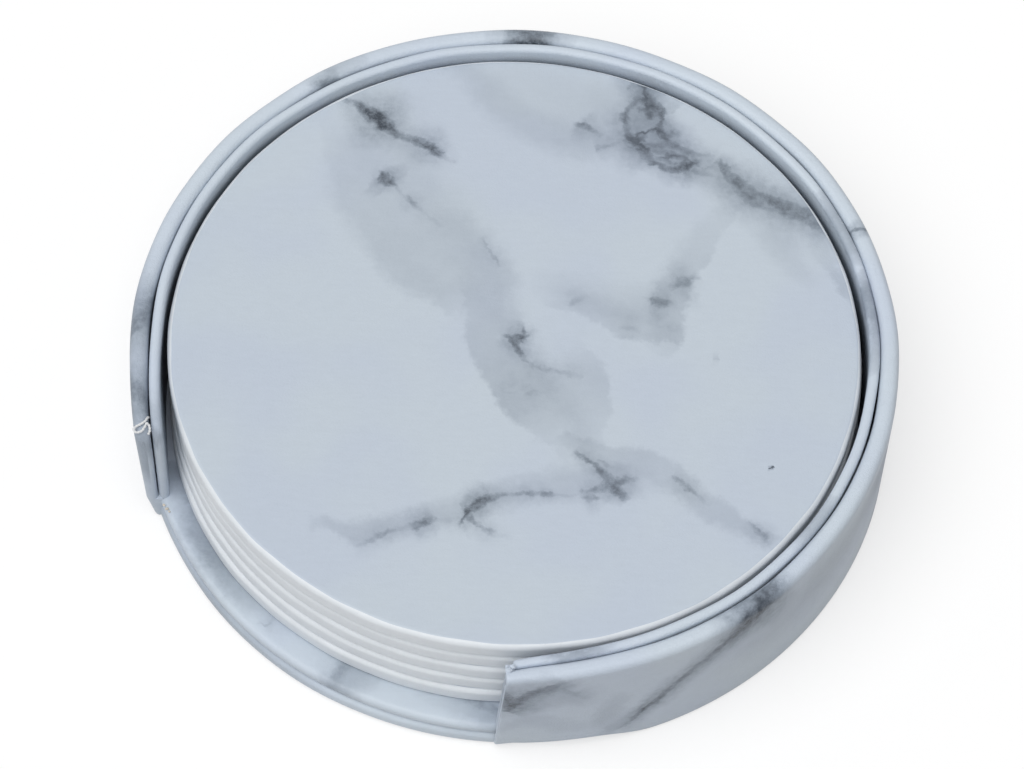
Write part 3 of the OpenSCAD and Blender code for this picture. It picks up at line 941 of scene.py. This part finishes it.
OUTER_VEINS = [
    [(-7.6, 2.8, 0.6, 0.35), (-6.8, 5, 0.9, 0.5), (-6, 7.4, 1.1, 0.55), (-5.6, 9.4, 1, 0.6)],
    [(-5.8, 9.7, 0.9, 0.6), (-4.7, 7.4, 1.2, 0.5), (-3.9, 5.9, 1.1, 0.45), (-1.9, 4.6, 1, 0.4),
     (0.9, 2.8, 0.8, 0.26)],
    [(0.5, 3.8, 0.5, 0.12), (2.7, 6.4, 0.8, 0.2), (4.8, 8.6, 0.6, 0.1)],
    [(34, -1, 1, 0.3), (31.2, 0.4, 2, 0.62), (28.8, 2.2, 2.1, 0.72), (26.6, 4, 1.4, 0.6),
     (23.8, 5.8, 1, 0.5), (21.9, 7.2, 0.9, 0.46), (19.2, 9.2, 0.8, 0.44), (17.4, 10.8, 0.8, 0.46),
     (16, 12.4, 0.8, 0.46), (14.4, 14.3, 0.7, 0.55), (13.2, 15.4, 0.6, 0.6), (11.4, 17.7, 0.6, 0.42),
     (9.6, 20, 0.6, 0.2)],
    [(154, -1.6, 0.9, 0.25), (157.3, -1.5, 1.7, 0.7), (161, -1.3, 0.9, 0.3)],
    [(154.6, 0.7, 1, 0.3), (157.5, 0.3, 1.3, 0.55), (160.6, 1, 0.8, 0.3)],
    [(97.4, -2.2, 0.35, 0.5), (97, 0, 0.4, 0.5), (96.4, 2.5, 0.35, 0.4)],
    [(188, -1.2, 0.8, 0.3), (190, -0.8, 0.8, 0.35), (191.6, -0.2, 0.6, 0.2)],
    [(236, -2.5, 1.4, 0.3), (239.8, 0, 1.8, 0.4), (243, 3, 1.4, 0.3)],
    [(249, 2.4, 1.2, 0.25), (252.6, 0.2, 1.5, 0.4), (255.5, -2, 1.2, 0.3)],
]

# Brushed lines on the inner ply, placed the same way
INNER_CLOUDS = [
    ((0.9, 0.9), [(-1, 0.2, 1.4, 0.1), (2.6, 0.3, 1.9, 0.42), (5.4, 0.2, 1.9, 0.38), (9, 0, 1.4, 0.1)]),
    ((0.8, 0.8), [(73, 0, 2.2, 0.2), (79, 0.4, 2.4, 0.36), (84, -0.2, 2.4, 0.48), (89, 0, 2, 0.24)]),
    ((0.8, 0.8), [(92, 0.3, 2.2, 0.18), (97.5, 0, 2.4, 0.38), (104, 0.2, 2.2, 0.25)]),
    ((0.8, 0.8), [(41, 0, 2, 0.15), (45.3, 0.4, 2.4, 0.3), (49.5, 0, 2, 0.15)]),
    ((0.5, 0.6), [(252, 1, 4, 0.03), (255, 1, 4.5, 0.24), (258.5, 1, 5, 0.3), (264, 1, 5, 0.26)]),
]

# Brushed lines on the floor disc and the base disc, in millimetres along the frame's axes
FLOOR_CLOUDS = [
    # The first cloud, beside the coaster stack by the left end, is partly print and partly painted shade cast
    # by the stack and the wall
    ((0.9, 0.9), [(-47, -15, 4.4, 0.38), (-43.5, -25, 4.4, 0.44), (-40, -31, 4.2, 0.42),
        (-35.5, -36, 3.4, 0.24), (-31, -40, 2.6, 0.07)]),
    ((0.8, 0.9), [(-14, -43, 4, 0.1), (-18.5, -45.5, 4.6, 0.23), (-22, -48.4, 4.2, 0.24),
        (-26, -51.5, 2.8, 0.1)]),
    ((0.8, 0.8), [(-9, -49, 3, 0.08), (-5, -50.5, 3.4, 0.17), (1, -52.5, 4, 0.24)]),
]
FLOOR_VEINS = [
    [(-20.4, -44.2, 1.2, 0.14), (-21.8, -45.6, 1.6, 0.22), (-23.2, -48.6, 1.2, 0.18), (-25, -51, 0.8, 0.1)],
    [(-32, -38.6, 0.4, 0.08), (-33.2, -39.8, 0.4, 0.16), (-34.4, -39.4, 0.4, 0.08)],
    [(-5, -49.3, 0.8, 0.1), (-2.5, -50.4, 1.1, 0.2), (0.4, -51.4, 0.9, 0.22)],
]
BASE_CLOUDS = [
    ((0.9, 0.9), [(-54, -12, 6, 0.12), (-49, -25, 6, 0.25), (-43, -35, 6, 0.25), (-35, -42.5, 6, 0.2),
        (-27, -48, 5, 0.05)]),
]


def shaken(sheet, place, coarse, fine):
    """The place, moved about by coarse and fine noise so that brushed lines get ragged edges."""
    wide = sheet.noise(place, 0.22, detail=2, coloured=True)
    narrow = sheet.noise(place, 0.9, detail=4, roughness=0.6, coloured=True)
    for noise, size in ((wide, coarse), (narrow, fine)):
        offset = sheet.vector("SUBTRACT", noise, (0.5, 0.5, 0.5))
        place = sheet.vector("ADD", place, sheet.vector("SCALE", offset, scale=2 * size))
    return place


def marble_group(name, clouds, veins, vein_width=1.45, halo=0.38, grained=False):
    """Node group of one marble print: its darkness at a place, from 0 for plain to 1 for black.

    Slow noise drifts over the clouds, and a finer one makes the veins blotchy. Where it is grained, the dark
    clouds get a net of dark threads where a noise crosses one half.
    """
    if name in bpy.data.node_groups:
        return bpy.data.node_groups[name]
    if "brushed line" not in bpy.data.node_groups:
        line_place_group()
        line_cover_group()
    sheet, start, end = new_group(name, [("Place", "Vector")], [("Darkness", "Float")])
    place = start["Place"]
    loose = shaken(sheet, place, 1.3, 1.1)
    close = shaken(sheet, place, 0.35, 0.8)
    cloud = darker(sheet, (stroke(sheet, loose, points, soft) for soft, points in clouds))
    drift = sheet.noise(place, 0.2, detail=6, roughness=0.7)
    cloud = sheet.times(cloud, sheet.scaled(drift, 1.0, 0.5))
    blots = sheet.noise(place, 0.75, detail=5, roughness=0.7)
    if grained:
        crossing = sheet.noise(close, 0.24, detail=2, roughness=0.5)
        net = sheet.math("ABSOLUTE", sheet.math("SUBTRACT", crossing, 0.5))
        net = sheet.times(sheet.step(net, 0.0, 0.09, 0.7, -0.15), cloud)
        cloud = sheet.scaled(net, sheet.step(cloud, 0.22, 0.42), cloud)
    if veins:
        vein = darkest(sheet, (stroke(sheet, close, points, halo=halo, wider=vein_width) for points in veins))
        vein = sheet.times(vein, sheet.step(blots, 0.3, 0.7, 0.85, 1.65))
        cloud = darker(sheet, [cloud, vein])
    sheet.put(end["Darkness"], cloud)
    return sheet.tree


def wandering(sheet, place, scale):
    """Marble that nobody placed: thin dark lines where a slow noise crosses one half, and soft clouds."""
    slow = sheet.noise(place, scale, detail=4, roughness=0.55, distortion=0.9)
    line = sheet.step(sheet.math("ABSOLUTE", sheet.math("SUBTRACT", slow, 0.5)), 0.022, 0.0)
    mask = sheet.step(sheet.noise(place, scale * 1.3, detail=2), 0.5, 0.68)
    cloud = sheet.step(sheet.noise(place, scale * 0.8, detail=3, distortion=0.6), 0.48, 0.72, 0, 0.26)
    return darker(sheet, [cloud, sheet.times(sheet.times(line, mask), 0.55)])


def leather_finish(sheet, shader, place, darkness, depth=1.0, painted_highlight=None):
    """Printed leatherette: the print's tone, faint lilac patches, a fine grain with creases, a soft sheen.

    depth is a factor on the grain, and painted_highlight a share by which the colour is painted lighter, a
    painted highlight on ridges and rims.
    """
    band = sheet.node("ShaderNodeValToRGB", {"Fac": darkness})
    stops = ((0.0, colour("plain")), (0.3, colour("cloud")), (0.5, colour("vein")), (1.0, colour("dark")))
    for i, (position, tone) in enumerate(stops):
        stop = band.color_ramp.elements[i] if i < 2 else band.color_ramp.elements.new(position)
        stop.position = position
        stop.color = (*tone, 1)
    patch = sheet.step(sheet.noise(place, 0.045, detail=2), 0.4, 0.65)
    tinted = sheet.mix(patch, band.outputs["Color"], colour("lilac"), blend="MULTIPLY")
    creases = sheet.noise(sheet.stretched(place, (0.4, 1.4, 1.0)), 0.9, detail=3, roughness=0.6)
    value = sheet.scaled(sheet.noise(place, 0.6, detail=5, roughness=0.7), 0.05, 0.945)
    value = sheet.scaled(creases, 0.06, value)
    # Painted highlight: the colour is lightened by the share painted_highlight
    if painted_highlight is not None:
        value = sheet.scaled(painted_highlight, 0.115, value)
    toned = sheet.node("ShaderNodeHueSaturation", {"Value": value, "Color": tinted})
    sheet.put(shader.inputs["Base Color"], toned.outputs["Color"])
    grain = sheet.noise(place, 2.6, detail=3, roughness=0.6)
    cells = sheet.node("ShaderNodeTexVoronoi", {"Vector": place, "Scale": 1.9}, feature="DISTANCE_TO_EDGE")
    pits = sheet.step(cells.outputs["Distance"], 0.0, 0.16, 0.0, 0.25)
    height = sheet.scaled(creases, 0.8, sheet.scaled(grain, 0.6, pits))
    sheet.bump(shader, height, depth * size_of("grain"))
    sheet.put(shader.inputs["Roughness"], sheet.scaled(grain, 0.16, 0.38))
    shader.inputs["Specular IOR Level"].default_value = 0.4


def face_finish(sheet, shader, n):
    """The marble print on a coaster: the top one as it lies, the others turned and shifted to other parts."""
    turn, shift = (0.0, (0, 0, 0)) if n == COASTERS[-1] else (1.3 * n, (3.0 * n - 7, 5.0 - 2 * n, 0))
    place = sheet.place(turn, shift)
    group = marble_group("marble on a coaster", TOP_CLOUDS, TOP_VEINS, grained=True)
    leather_finish(sheet, shader, place, sheet.printed(group, place))


def ply_finish(sheet, shader, group, loose, gap_shade):
    """The print on a ply, laid out by its unrolled length, with a painted highlight along the ridge.

    loose says from where along the wall and how far down its face the marble wanders freely, and gap_shade
    from where to where down the inner face painted shade darkens it, where the gap beside it lies in shadow,
    and by what share, away from the ends.
    """
    place = sheet.place()
    mapped = sheet.node("ShaderNodeUVMap", uv_map="print").outputs["UV"]
    drawn = sheet.printed(group, mapped)
    along, down = sheet.split(mapped)[:2]
    (start, stop), (near, far) = loose
    free = sheet.times(sheet.step(along, start, stop), sheet.step(down, near, far))
    darkness = darker(sheet, [drawn, sheet.times(wandering(sheet, place, 0.03), free)])
    # Painted shade down the inner face, in the seam between the plies or the gap beside the coasters, fading
    # at both ends
    begin, end, share = gap_shade
    inward = sheet.times(sheet.step(along, *PAINTED_SHADE_FROM), sheet.step(along, *PAINTED_SHADE_TO))
    dirt_and_painted_shade = sheet.times(sheet.step(down, begin, end, 0.0, share), inward)
    darkness = darker(sheet, [darkness, dirt_and_painted_shade])
    # Painted highlight along the ply's ridge
    painted_highlight = sheet.step(sheet.math("ABSOLUTE", down), 2.4, 0.4)
    leather_finish(sheet, shader, place, darkness, depth=3.0, painted_highlight=painted_highlight)


def outer_finish(sheet, shader):
    """The outer ply's print: placed where the wall faces the front, and wandering round the back."""
    group = marble_group("marble on the outer ply", OUTER_CLOUDS, OUTER_VEINS, 1.9, 0.5)
    # The last three numbers paint shade near the top of the inner face, in the seam between the plies
    ply_finish(sheet, shader, group, ((45, 60), (2.5, 5)), (-1.1, -2.1, 0.9))


def inner_finish(sheet, shader):
    """The inner ply's print: placed along its ridge, and wandering down its inner face."""
    group = marble_group("marble on the inner ply", INNER_CLOUDS, [])
    # The last three numbers paint shade down the inner face, in the gap beside the coasters
    ply_finish(sheet, shader, group, ((-20, -10), (-2.5, -5)), (-1.3, -5.0, 0.7))


def floor_finish(sheet, shader):
    """The floor disc's print: placed where the floor is seen, and wandering under the coasters."""
    place = sheet.place()
    drawn = sheet.printed(marble_group("marble on the floor", FLOOR_CLOUDS, FLOOR_VEINS), place)
    radius = sheet.radius(place)
    free = sheet.times(wandering(sheet, place, 0.03), sheet.step(radius, 45, 38))
    # Painted highlight on the floor disc's rounded rim
    painted_highlight = sheet.step(radius, 52, 54, 0.0, 0.35)
    leather_finish(sheet, shader, place, darker(sheet, [drawn, free]), painted_highlight=painted_highlight)


def base_finish(sheet, shader):
    """Plain leatherette of the base: the print's ground with faint clouds, scuffed where it stands, with a
    painted highlight on its rim.
    """
    place = sheet.place()
    clouds = sheet.step(sheet.noise(place, 0.06, detail=4, distortion=0.5), 0.45, 0.75, 0.0, 0.14)
    scuffs = sheet.noise(sheet.stretched(place, (0.3, 1.6, 1.0)), 0.7, detail=6, roughness=0.75)
    under = sheet.step(sheet.split(place)[2], 0.3, 0.02)
    scuffs = sheet.times(sheet.step(scuffs, 0.56, 0.7, 0.0, 0.2), under)
    # Painted highlight on the base disc's rounded rim
    painted_highlight = sheet.step(sheet.radius(place), 51, 53, 0.0, 0.75)
    drawn = sheet.printed(marble_group("marble on the base", BASE_CLOUDS, []), place)
    leather_finish(sheet, shader, place, darker(sheet, [clouds, scuffs, drawn]), painted_highlight=painted_highlight)


def paint(sheet, shader, name, share, tones, height, depth, roughness):
    """Gives a shader a colour that goes by share from one of its tones to another, bumps and a roughness."""
    first, second = (colour(name, tone) for tone in tones)
    sheet.put(shader.inputs["Base Color"], sheet.mix(share, first, second))
    sheet.bump(shader, height, depth)
    sheet.put(shader.inputs["Roughness"], roughness)


def seal_finish(sheet, shader):
    """Edge paint: brushed ridges that run round the edge, specks of dirt in its hollows, a satin sheen."""
    place = sheet.place()
    ridges = sheet.noise(sheet.stretched(place, (0.12, 0.12, 2.6)), 1.0, detail=4, roughness=0.6)
    dapple = sheet.noise(place, 0.5, detail=5, roughness=0.7)
    specks = sheet.step(sheet.noise(place, 2.4, detail=4, roughness=0.75), 0.6, 0.72, 0.0, 0.5)
    share = sheet.scaled(dapple, 0.7, specks, clamp=True)
    height = sheet.scaled(dapple, 0.5, ridges)
    paint(sheet, shader, "seal", share, (1.05, 0.88), height, 0.05, sheet.scaled(dapple, 0.25, 0.33))


def board_finish(sheet, shader):
    """Grey board: pressed fibres in flat layers with darker flecks, dry and rough."""
    place = sheet.place()
    fibres = sheet.noise(sheet.stretched(place, (1.0, 1.0, 6.0)), 1.6, detail=6, roughness=0.75)
    flecks = sheet.step(sheet.noise(place, 3.2, detail=3), 0.6, 0.7, 0.0, 0.6)
    share = sheet.scaled(fibres, 0.8, flecks, clamp=True)
    paint(sheet, shader, "board", share, (1.1, 0.6), fibres, 0.08, sheet.scaled(fibres, 0.2, 0.75))


def lining_finish(sheet, shader):
    """Woven lining: sin(2 pi x / p) sin(2 pi y / p) high with p = 0.45 mm, shaded by slubs and marks."""
    place = sheet.place()
    bent = shaken(sheet, place, 0.1, 0.05)
    across = sheet.split(sheet.vector("SCALE", bent, scale=math.tau / 0.45))
    weave = sheet.times(sheet.math("SINE", across[0]), sheet.math("SINE", across[1]))
    slubs = sheet.noise(sheet.stretched(place, (0.25, 2.0, 1.0)), 0.8, detail=4, roughness=0.6)
    marks = sheet.noise(place, 0.08, detail=5, roughness=0.6)
    share = sheet.scaled(weave, 0.2, sheet.scaled(slubs, 0.4, 0.15))
    share = sheet.scaled(marks, 0.3, share, clamp=True)
    height = sheet.scaled(weave, 0.5, slubs)
    paint(sheet, shader, "lining", share, (0.75, 1.2), height, 0.06, sheet.scaled(slubs, 0.15, 0.75))
    shader.inputs["Specular IOR Level"].default_value = 0.25


def glue_finish(sheet, shader):
    """Dried glue: cloudy and yellowed in places, with small bubbles and a gloss that comes and goes."""
    place = sheet.place()
    cloudy = sheet.noise(place, 0.7, detail=5, roughness=0.65)
    cells = sheet.node("ShaderNodeTexVoronoi", {"Vector": place, "Scale": 1.4})
    height = sheet.scaled(cloudy, 0.8, sheet.step(cells.outputs["Distance"], 0.12, 0.3))
    paint(sheet, shader, "glue", cloudy, (1.15, 0.8), height, 0.08, sheet.scaled(cloudy, 0.4, 0.15))


def thread_finish(sheet, shader):
    """Cotton and cut leatherette: loose fibres, light and dark, dull all over."""
    place = sheet.place()
    fibres = sheet.noise(sheet.stretched(place, (1.0, 1.0, 3.0)), 4.0, detail=4, roughness=0.7)
    # Dirt on the thread itself
    dirt_and_painted_shade = sheet.noise(place, 0.9, detail=3)
    share = sheet.scaled(fibres, 0.6, sheet.times(dirt_and_painted_shade, 0.4), clamp=True)
    paint(sheet, shader, "thread", share, (1.08, 0.78), fibres, 0.04, sheet.scaled(fibres, 0.2, 0.7))


def finish(name, build, *details):
    """The material of that name, built on its node sheet the first time that it is asked for."""
    material = bpy.data.materials.get(name)
    if material is None:
        material = bpy.data.materials.new(name)
        material.use_nodes = True
        build(Sheet(material.node_tree), material.node_tree.nodes["Principled BSDF"], *details)
    return material


def make_discs():
    """Base disc and floor disc: each a board in a cover that is turned in over its hidden side."""
    board = finish("grey board", board_finish)
    plain = finish("plain leatherette", base_finish)
    printed = finish("print on the floor", floor_finish)
    base_wobble = rim_wobble(BASE_DENTS, 5, [3, 5, 8], BASE_SHIFT)
    floor_wobble = rim_wobble(FLOOR_DENTS, 6, [2, 5, 9])
    for name, z0, t, up, wobble, slot, finished in (
        ("base", 0.0, BASE_T, False, base_wobble, "lining", plain),
        ("floor", BASE_T, FLOOR_T, True, floor_wobble, "print", printed),
    ):
        r = size_of(name + "_radius")
        cover = make_piece(name + "_disc", [revolve(disc_cover_profile(r, z0, t, up), wobble=wobble)])
        settle(cover, "holder", slot, finished, name + "_cover")
        profile = disc_board_profile(r - BOARD_PLAY, z0, t, up)
        inside = make_piece(name + "_disc_board", [revolve(profile, wobble=wobble)])
        settle(inside, "holder", "board", board, name + "_board")


def make_wall():
    """Inner ply and outer ply: the sections of ply_rings joined to closed skins."""
    front, left = size_of("front_run"), size_of("left_run")
    inner_t, outer_t = SEAM_R - INNER_R - SEAM_GAP, OUTER_R - SEAM_R - SEAM_GAP
    for name, build, r, t, skirt, run, tail in (
        ("inner_ply", inner_finish, INNER_R, inner_t, False, front - INNER_SHORT[0], left - INNER_SHORT[1]),
        ("outer_ply", outer_finish, SEAM_R + SEAM_GAP, outer_t, True, front, left),
    ):
        rings, uv = ply_rings(r, t, skirt, run, tail)
        x = ply_profile(t, skirt)[0][:, 0]
        down = size_of("wall_top") + END_DROP - rings[[0, -1], :, 2]
        cap_uv = np.stack([np.stack([uv[0, :-1, 0] - t + x, uv[-1, :-1, 0] + t - x]), down], axis=-1)
        piece = make_piece(name, [skin(rings, uv, "cap", "cap", cap_uv)], unrolled=True)
        finished = finish("print on the " + name.replace("_", " "), build)
        settle(piece, "holder", "print", finished, name + "_cover", name + "_board")


# The loose thread's path, then bits of fold and of glue as (centre, size, seed, turn)
THREAD_PATH = [
    (-51.35, -16.5, 21.2), (-51.45, -17.0, 21.9), (-51.7, -17.7, 22.15), (-52.3, -18.2, 22.1),
    (-53.0, -18.6, 21.95), (-53.2, -19.0, 21.75), (-52.8, -19.3, 21.6), (-52.1, -19.1, 21.75),
    (-51.7, -18.6, 22.05), (-51.45, -18.1, 22.2), (-51.1, -18.3, 22.0), (-50.95, -18.9, 21.75),
    (-51.15, -19.5, 21.4),
]
FOLD_BITS = [
    ((1.45, -53.95, 21.7), (0.4, 0.46, 0.28), 3, 0.5), ((2.0, -53.35, 21.75), (0.34, 0.4, 0.26), 7, 1.3),
    ((1.25, -53.3, 21.55), (0.28, 0.28, 0.28), 11, 0.2), ((1.6, -54.6, 21.5), (0.28, 0.38, 0.24), 15, 2.0),
]
GLUE_BITS = [
    ((-49.0, -21.7, 4.6), (0.26, 0.17, 0.13), 23, 0.4), ((-49.45, -21.2, 4.75), (0.17, 0.2, 0.14), 27, 1.0),
    ((-48.6, -22.1, 4.55), (0.16, 0.13, 0.1), 31, 2.2),
]
# Every third point of the outer ply's section from its ridge down to its skirt, where the cut edge shows
CUT_EDGE = slice(SIDE_STEPS + 2 * BEND_STEPS - 1, 48, 3)
CUT_EDGE_R = 0.13


def make_trim():
    """Loose thread, the folded corner and cut edge of the front end, and spots of glue by the left end."""
    pale = finish("cotton and cut edges", thread_finish)
    thread = cord(THREAD_PATH, size_of("thread"), lobes=0.2, pitch=0.9)
    settle(make_piece("thread_tag", [thread]), "holder", "lining", pale)
    t = OUTER_R - SEAM_R - SEAM_GAP
    rings, _ = ply_rings(SEAM_R + SEAM_GAP, t, True, size_of("front_run"), size_of("left_run"))
    fold = [cord(rings[0, CUT_EDGE], CUT_EDGE_R, around=8), *(crumb(*bit) for bit in FOLD_BITS)]
    settle(make_piece("end_fold", fold), "holder", "print", finish("plain leatherette", base_finish))
    spots = make_piece("glue_spots", [crumb(*bit) for bit in GLUE_BITS])
    settle(spots, "holder", "glue", finish("dried glue", glue_finish))


def make_faces():
    """The printed face of each coaster."""
    for n in COASTERS:
        face = make_piece(f"printed_face_{n}", [face_skin(n)])
        finished = finish(f"print on coaster {n}", face_finish, n)
        settle(face, f"coaster_{n}", "print", finished, f"coaster_{n}_face")


def make_seals():
    """The sealed edge of each coaster."""
    finished = finish("edge paint", seal_finish)
    for n in COASTERS:
        seal = make_piece(f"sealed_edge_{n}", [seal_skin(n)])
        settle(seal, f"coaster_{n}", "seal", finished, f"coaster_{n}_edge")


def finish_cad_parts():
    """Finishes for the parts of the frame, most of which stay hidden inside the pieces made here."""
    finishes = (
        ("glue", "dried glue", glue_finish), ("back", "woven lining", lining_finish),
        ("edge", "edge paint", seal_finish), ("cover", "plain leatherette", base_finish),
        ("face", "plain leatherette", base_finish), ("", "grey board", board_finish),
    )
    for name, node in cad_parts.items():
        title, build = next((title, build) for word, title, build in finishes if word in name)
        node.data.materials.clear()
        node.data.materials.append(finish(title, build))


def seen_rays(sheet):
    """1 for camera, glossy and transmission rays, and 0 for the rest."""
    path = sheet.node("ShaderNodeLightPath").outputs
    through = sheet.math("MAXIMUM", path["Is Glossy Ray"], path["Is Transmission Ray"])
    return sheet.math("MAXIMUM", path["Is Camera Ray"], through)


def make_ground():
    """Pale ground: white to the eye, with the object's shadow, and grey to the light that it sends back."""
    mesh = bpy.data.meshes.new("ground")
    corners = [(x * GROUND_REACH, y * GROUND_REACH, 0) for x, y in ((-1, -1), (1, -1), (1, 1), (-1, 1))]
    mesh.from_pydata(corners, [], [(0, 1, 2, 3)])
    ground = bpy.data.objects.new("ground", mesh)
    bpy.context.scene.collection.objects.link(ground)
    pale = bpy.data.materials.new("pale ground")
    pale.use_nodes = True
    pale.node_tree.nodes.clear()
    sheet = Sheet(pale.node_tree)
    seen = seen_rays(sheet)
    matte = sheet.node("ShaderNodeBsdfDiffuse", {"Color": sheet.mix(seen, GROUND_GREY, WHITE)})
    white = sheet.node("ShaderNodeEmission", {"Color": (*WHITE, 1), "Strength": 1.0})
    both = sheet.node("ShaderNodeMixShader", {"Fac": sheet.times(seen, GROUND_GLOW)})
    sheet.put(both.inputs[1], matte.outputs[0])
    sheet.put(both.inputs[2], white.outputs[0])
    sheet.node("ShaderNodeOutputMaterial", {"Surface": both.outputs[0]})
    mesh.materials.append(pale)


def make_lights():
    """A white room that lights at a plain level, and one wide soft lamp from the left."""
    world = bpy.data.worlds.new("studio")
    bpy.context.scene.world = world
    world.use_nodes = True
    sheet = Sheet(world.node_tree)
    room = world.node_tree.nodes["Background"].inputs
    sheet.put(room["Strength"], sheet.scaled(seen_rays(sheet), 1 - ROOM_LIGHT, ROOM_LIGHT))
    sheet.put(room["Color"], (*WHITE, 1))
    lamp = bpy.data.lights.new("key", "SUN")
    lamp.energy = LAMP_LIGHT
    lamp.angle = math.radians(LAMP_SPREAD)
    key = bpy.data.objects.new("key", lamp)
    bearing, height = math.radians(LAMP_BEARING), math.radians(LAMP_HEIGHT)
    flat = math.cos(height)
    toward = Vector((flat * math.cos(bearing), flat * math.sin(bearing), math.sin(height)))
    key.rotation_euler = toward.to_track_quat("Z", "Y").to_euler()
    bpy.context.scene.collection.objects.link(key)
    bpy.context.scene.view_settings.view_transform = "Standard"


def place_camera():
    """A long lens above the front, turned a little about its own axis."""
    lift = math.radians(CAMERA_TILT)
    roll = math.radians(CAMERA_ROLL)
    pitch = math.atan((AIMED_ROW - MIDDLE_ROW) / FOCAL_ROWS)
    back = Vector((0, -math.cos(lift), math.sin(lift)))
    right = Vector((1, 0, 0))
    up = Vector((0, math.sin(lift), math.cos(lift)))
    side = right * math.cos(roll) - up * math.sin(roll)
    top = right * math.sin(roll) + up * math.cos(roll)
    ahead = -back * math.cos(pitch) + top * math.sin(pitch)
    above = top * math.cos(pitch) + back * math.sin(pitch)
    data = bpy.data.cameras.new("camera")
    data.sensor_width = 36
    data.lens = CAMERA_LENS
    data.clip_start = 0.01
    data.clip_end = 20
    camera = bpy.data.objects.new("camera", data)
    turn = Matrix((side, above, -ahead)).transposed().to_4x4()
    camera.matrix_world = Matrix.Translation(back * CAMERA_DISTANCE) @ turn
    bpy.context.scene.collection.objects.link(camera)
    bpy.context.scene.camera = camera


class COASTERS_OT_make_discs(bpy.types.Operator):
    """Make the base disc and the floor disc with their boards"""

    bl_idname = "coasters.make_discs"
    bl_label = "Base and floor discs"

    def execute(self, context):
        make_discs()
        return {"FINISHED"}


class COASTERS_OT_make_wall(bpy.types.Operator):
    """Make the two plies of the wall"""

    bl_idname = "coasters.make_wall"
    bl_label = "Wall"

    def execute(self, context):
        make_wall()
        return {"FINISHED"}


class COASTERS_OT_make_trim(bpy.types.Operator):
    """Make the loose thread, the folded corner and the spots of glue"""

    bl_idname = "coasters.make_trim"
    bl_label = "Thread, fold and glue"

    def execute(self, context):
        make_trim()
        return {"FINISHED"}


class COASTERS_OT_make_faces(bpy.types.Operator):
    """Make the printed faces of the coasters"""

    bl_idname = "coasters.make_faces"
    bl_label = "Printed faces"

    def execute(self, context):
        make_faces()
        return {"FINISHED"}


class COASTERS_OT_make_seals(bpy.types.Operator):
    """Make the sealed edges of the coasters"""

    bl_idname = "coasters.make_seals"
    bl_label = "Sealed edges"

    def execute(self, context):
        make_seals()
        return {"FINISHED"}


class COASTERS_OT_finish_cad_parts(bpy.types.Operator):
    """Give the parts of the frame their finishes"""

    bl_idname = "coasters.finish_cad_parts"
    bl_label = "Frame's finishes"

    def execute(self, context):
        finish_cad_parts()
        return {"FINISHED"}


class COASTERS_OT_make_stage(bpy.types.Operator):
    """Make the ground, the lights and the camera"""

    bl_idname = "coasters.make_stage"
    bl_label = "Studio"

    def execute(self, context):
        make_ground()
        make_lights()
        place_camera()
        return {"FINISHED"}


OPERATORS = (
    COASTERS_OT_make_discs, COASTERS_OT_make_wall, COASTERS_OT_make_trim, COASTERS_OT_make_faces,
    COASTERS_OT_make_seals, COASTERS_OT_finish_cad_parts, COASTERS_OT_make_stage,
)


class COASTERS_PT_sidebar(bpy.types.Panel):
    """Sizes, colours and steps of the coasters and their holder"""

    bl_idname = "COASTERS_PT_sidebar"
    bl_label = "Coasters"
    bl_space_type = "VIEW_3D"
    bl_region_type = "UI"
    bl_category = "Coasters"

    def draw(self, context):
        for group in (context.scene.coaster_sizes, context.scene.coaster_colours):
            column = self.layout.column(align=True)
            for name in group.__annotations__:
                column.prop(group, name)
        for operator in OPERATORS:
            self.layout.operator(operator.bl_idname)


CLASSES = (CoasterSizes, CoasterColours, *OPERATORS, COASTERS_PT_sidebar)


def register():
    """Adds the classes, and the sizes and colours that each scene keeps."""
    for item in CLASSES:
        bpy.utils.register_class(item)
    bpy.types.Scene.coaster_sizes = PointerProperty(type=CoasterSizes)
    bpy.types.Scene.coaster_colours = PointerProperty(type=CoasterColours)


def unregister():
    """Takes the classes away again."""
    del bpy.types.Scene.coaster_colours
    del bpy.types.Scene.coaster_sizes
    for item in reversed(CLASSES):
        bpy.utils.unregister_class(item)


def main():
    """Makes every piece in order."""
    register()
    bpy.ops.coasters.make_stage()
    bpy.ops.coasters.make_discs()
    bpy.ops.coasters.make_wall()
    bpy.ops.coasters.make_trim()
    bpy.ops.coasters.make_faces()
    bpy.ops.coasters.make_seals()
    bpy.ops.coasters.finish_cad_parts()


if __name__ == "__main__":
    main()
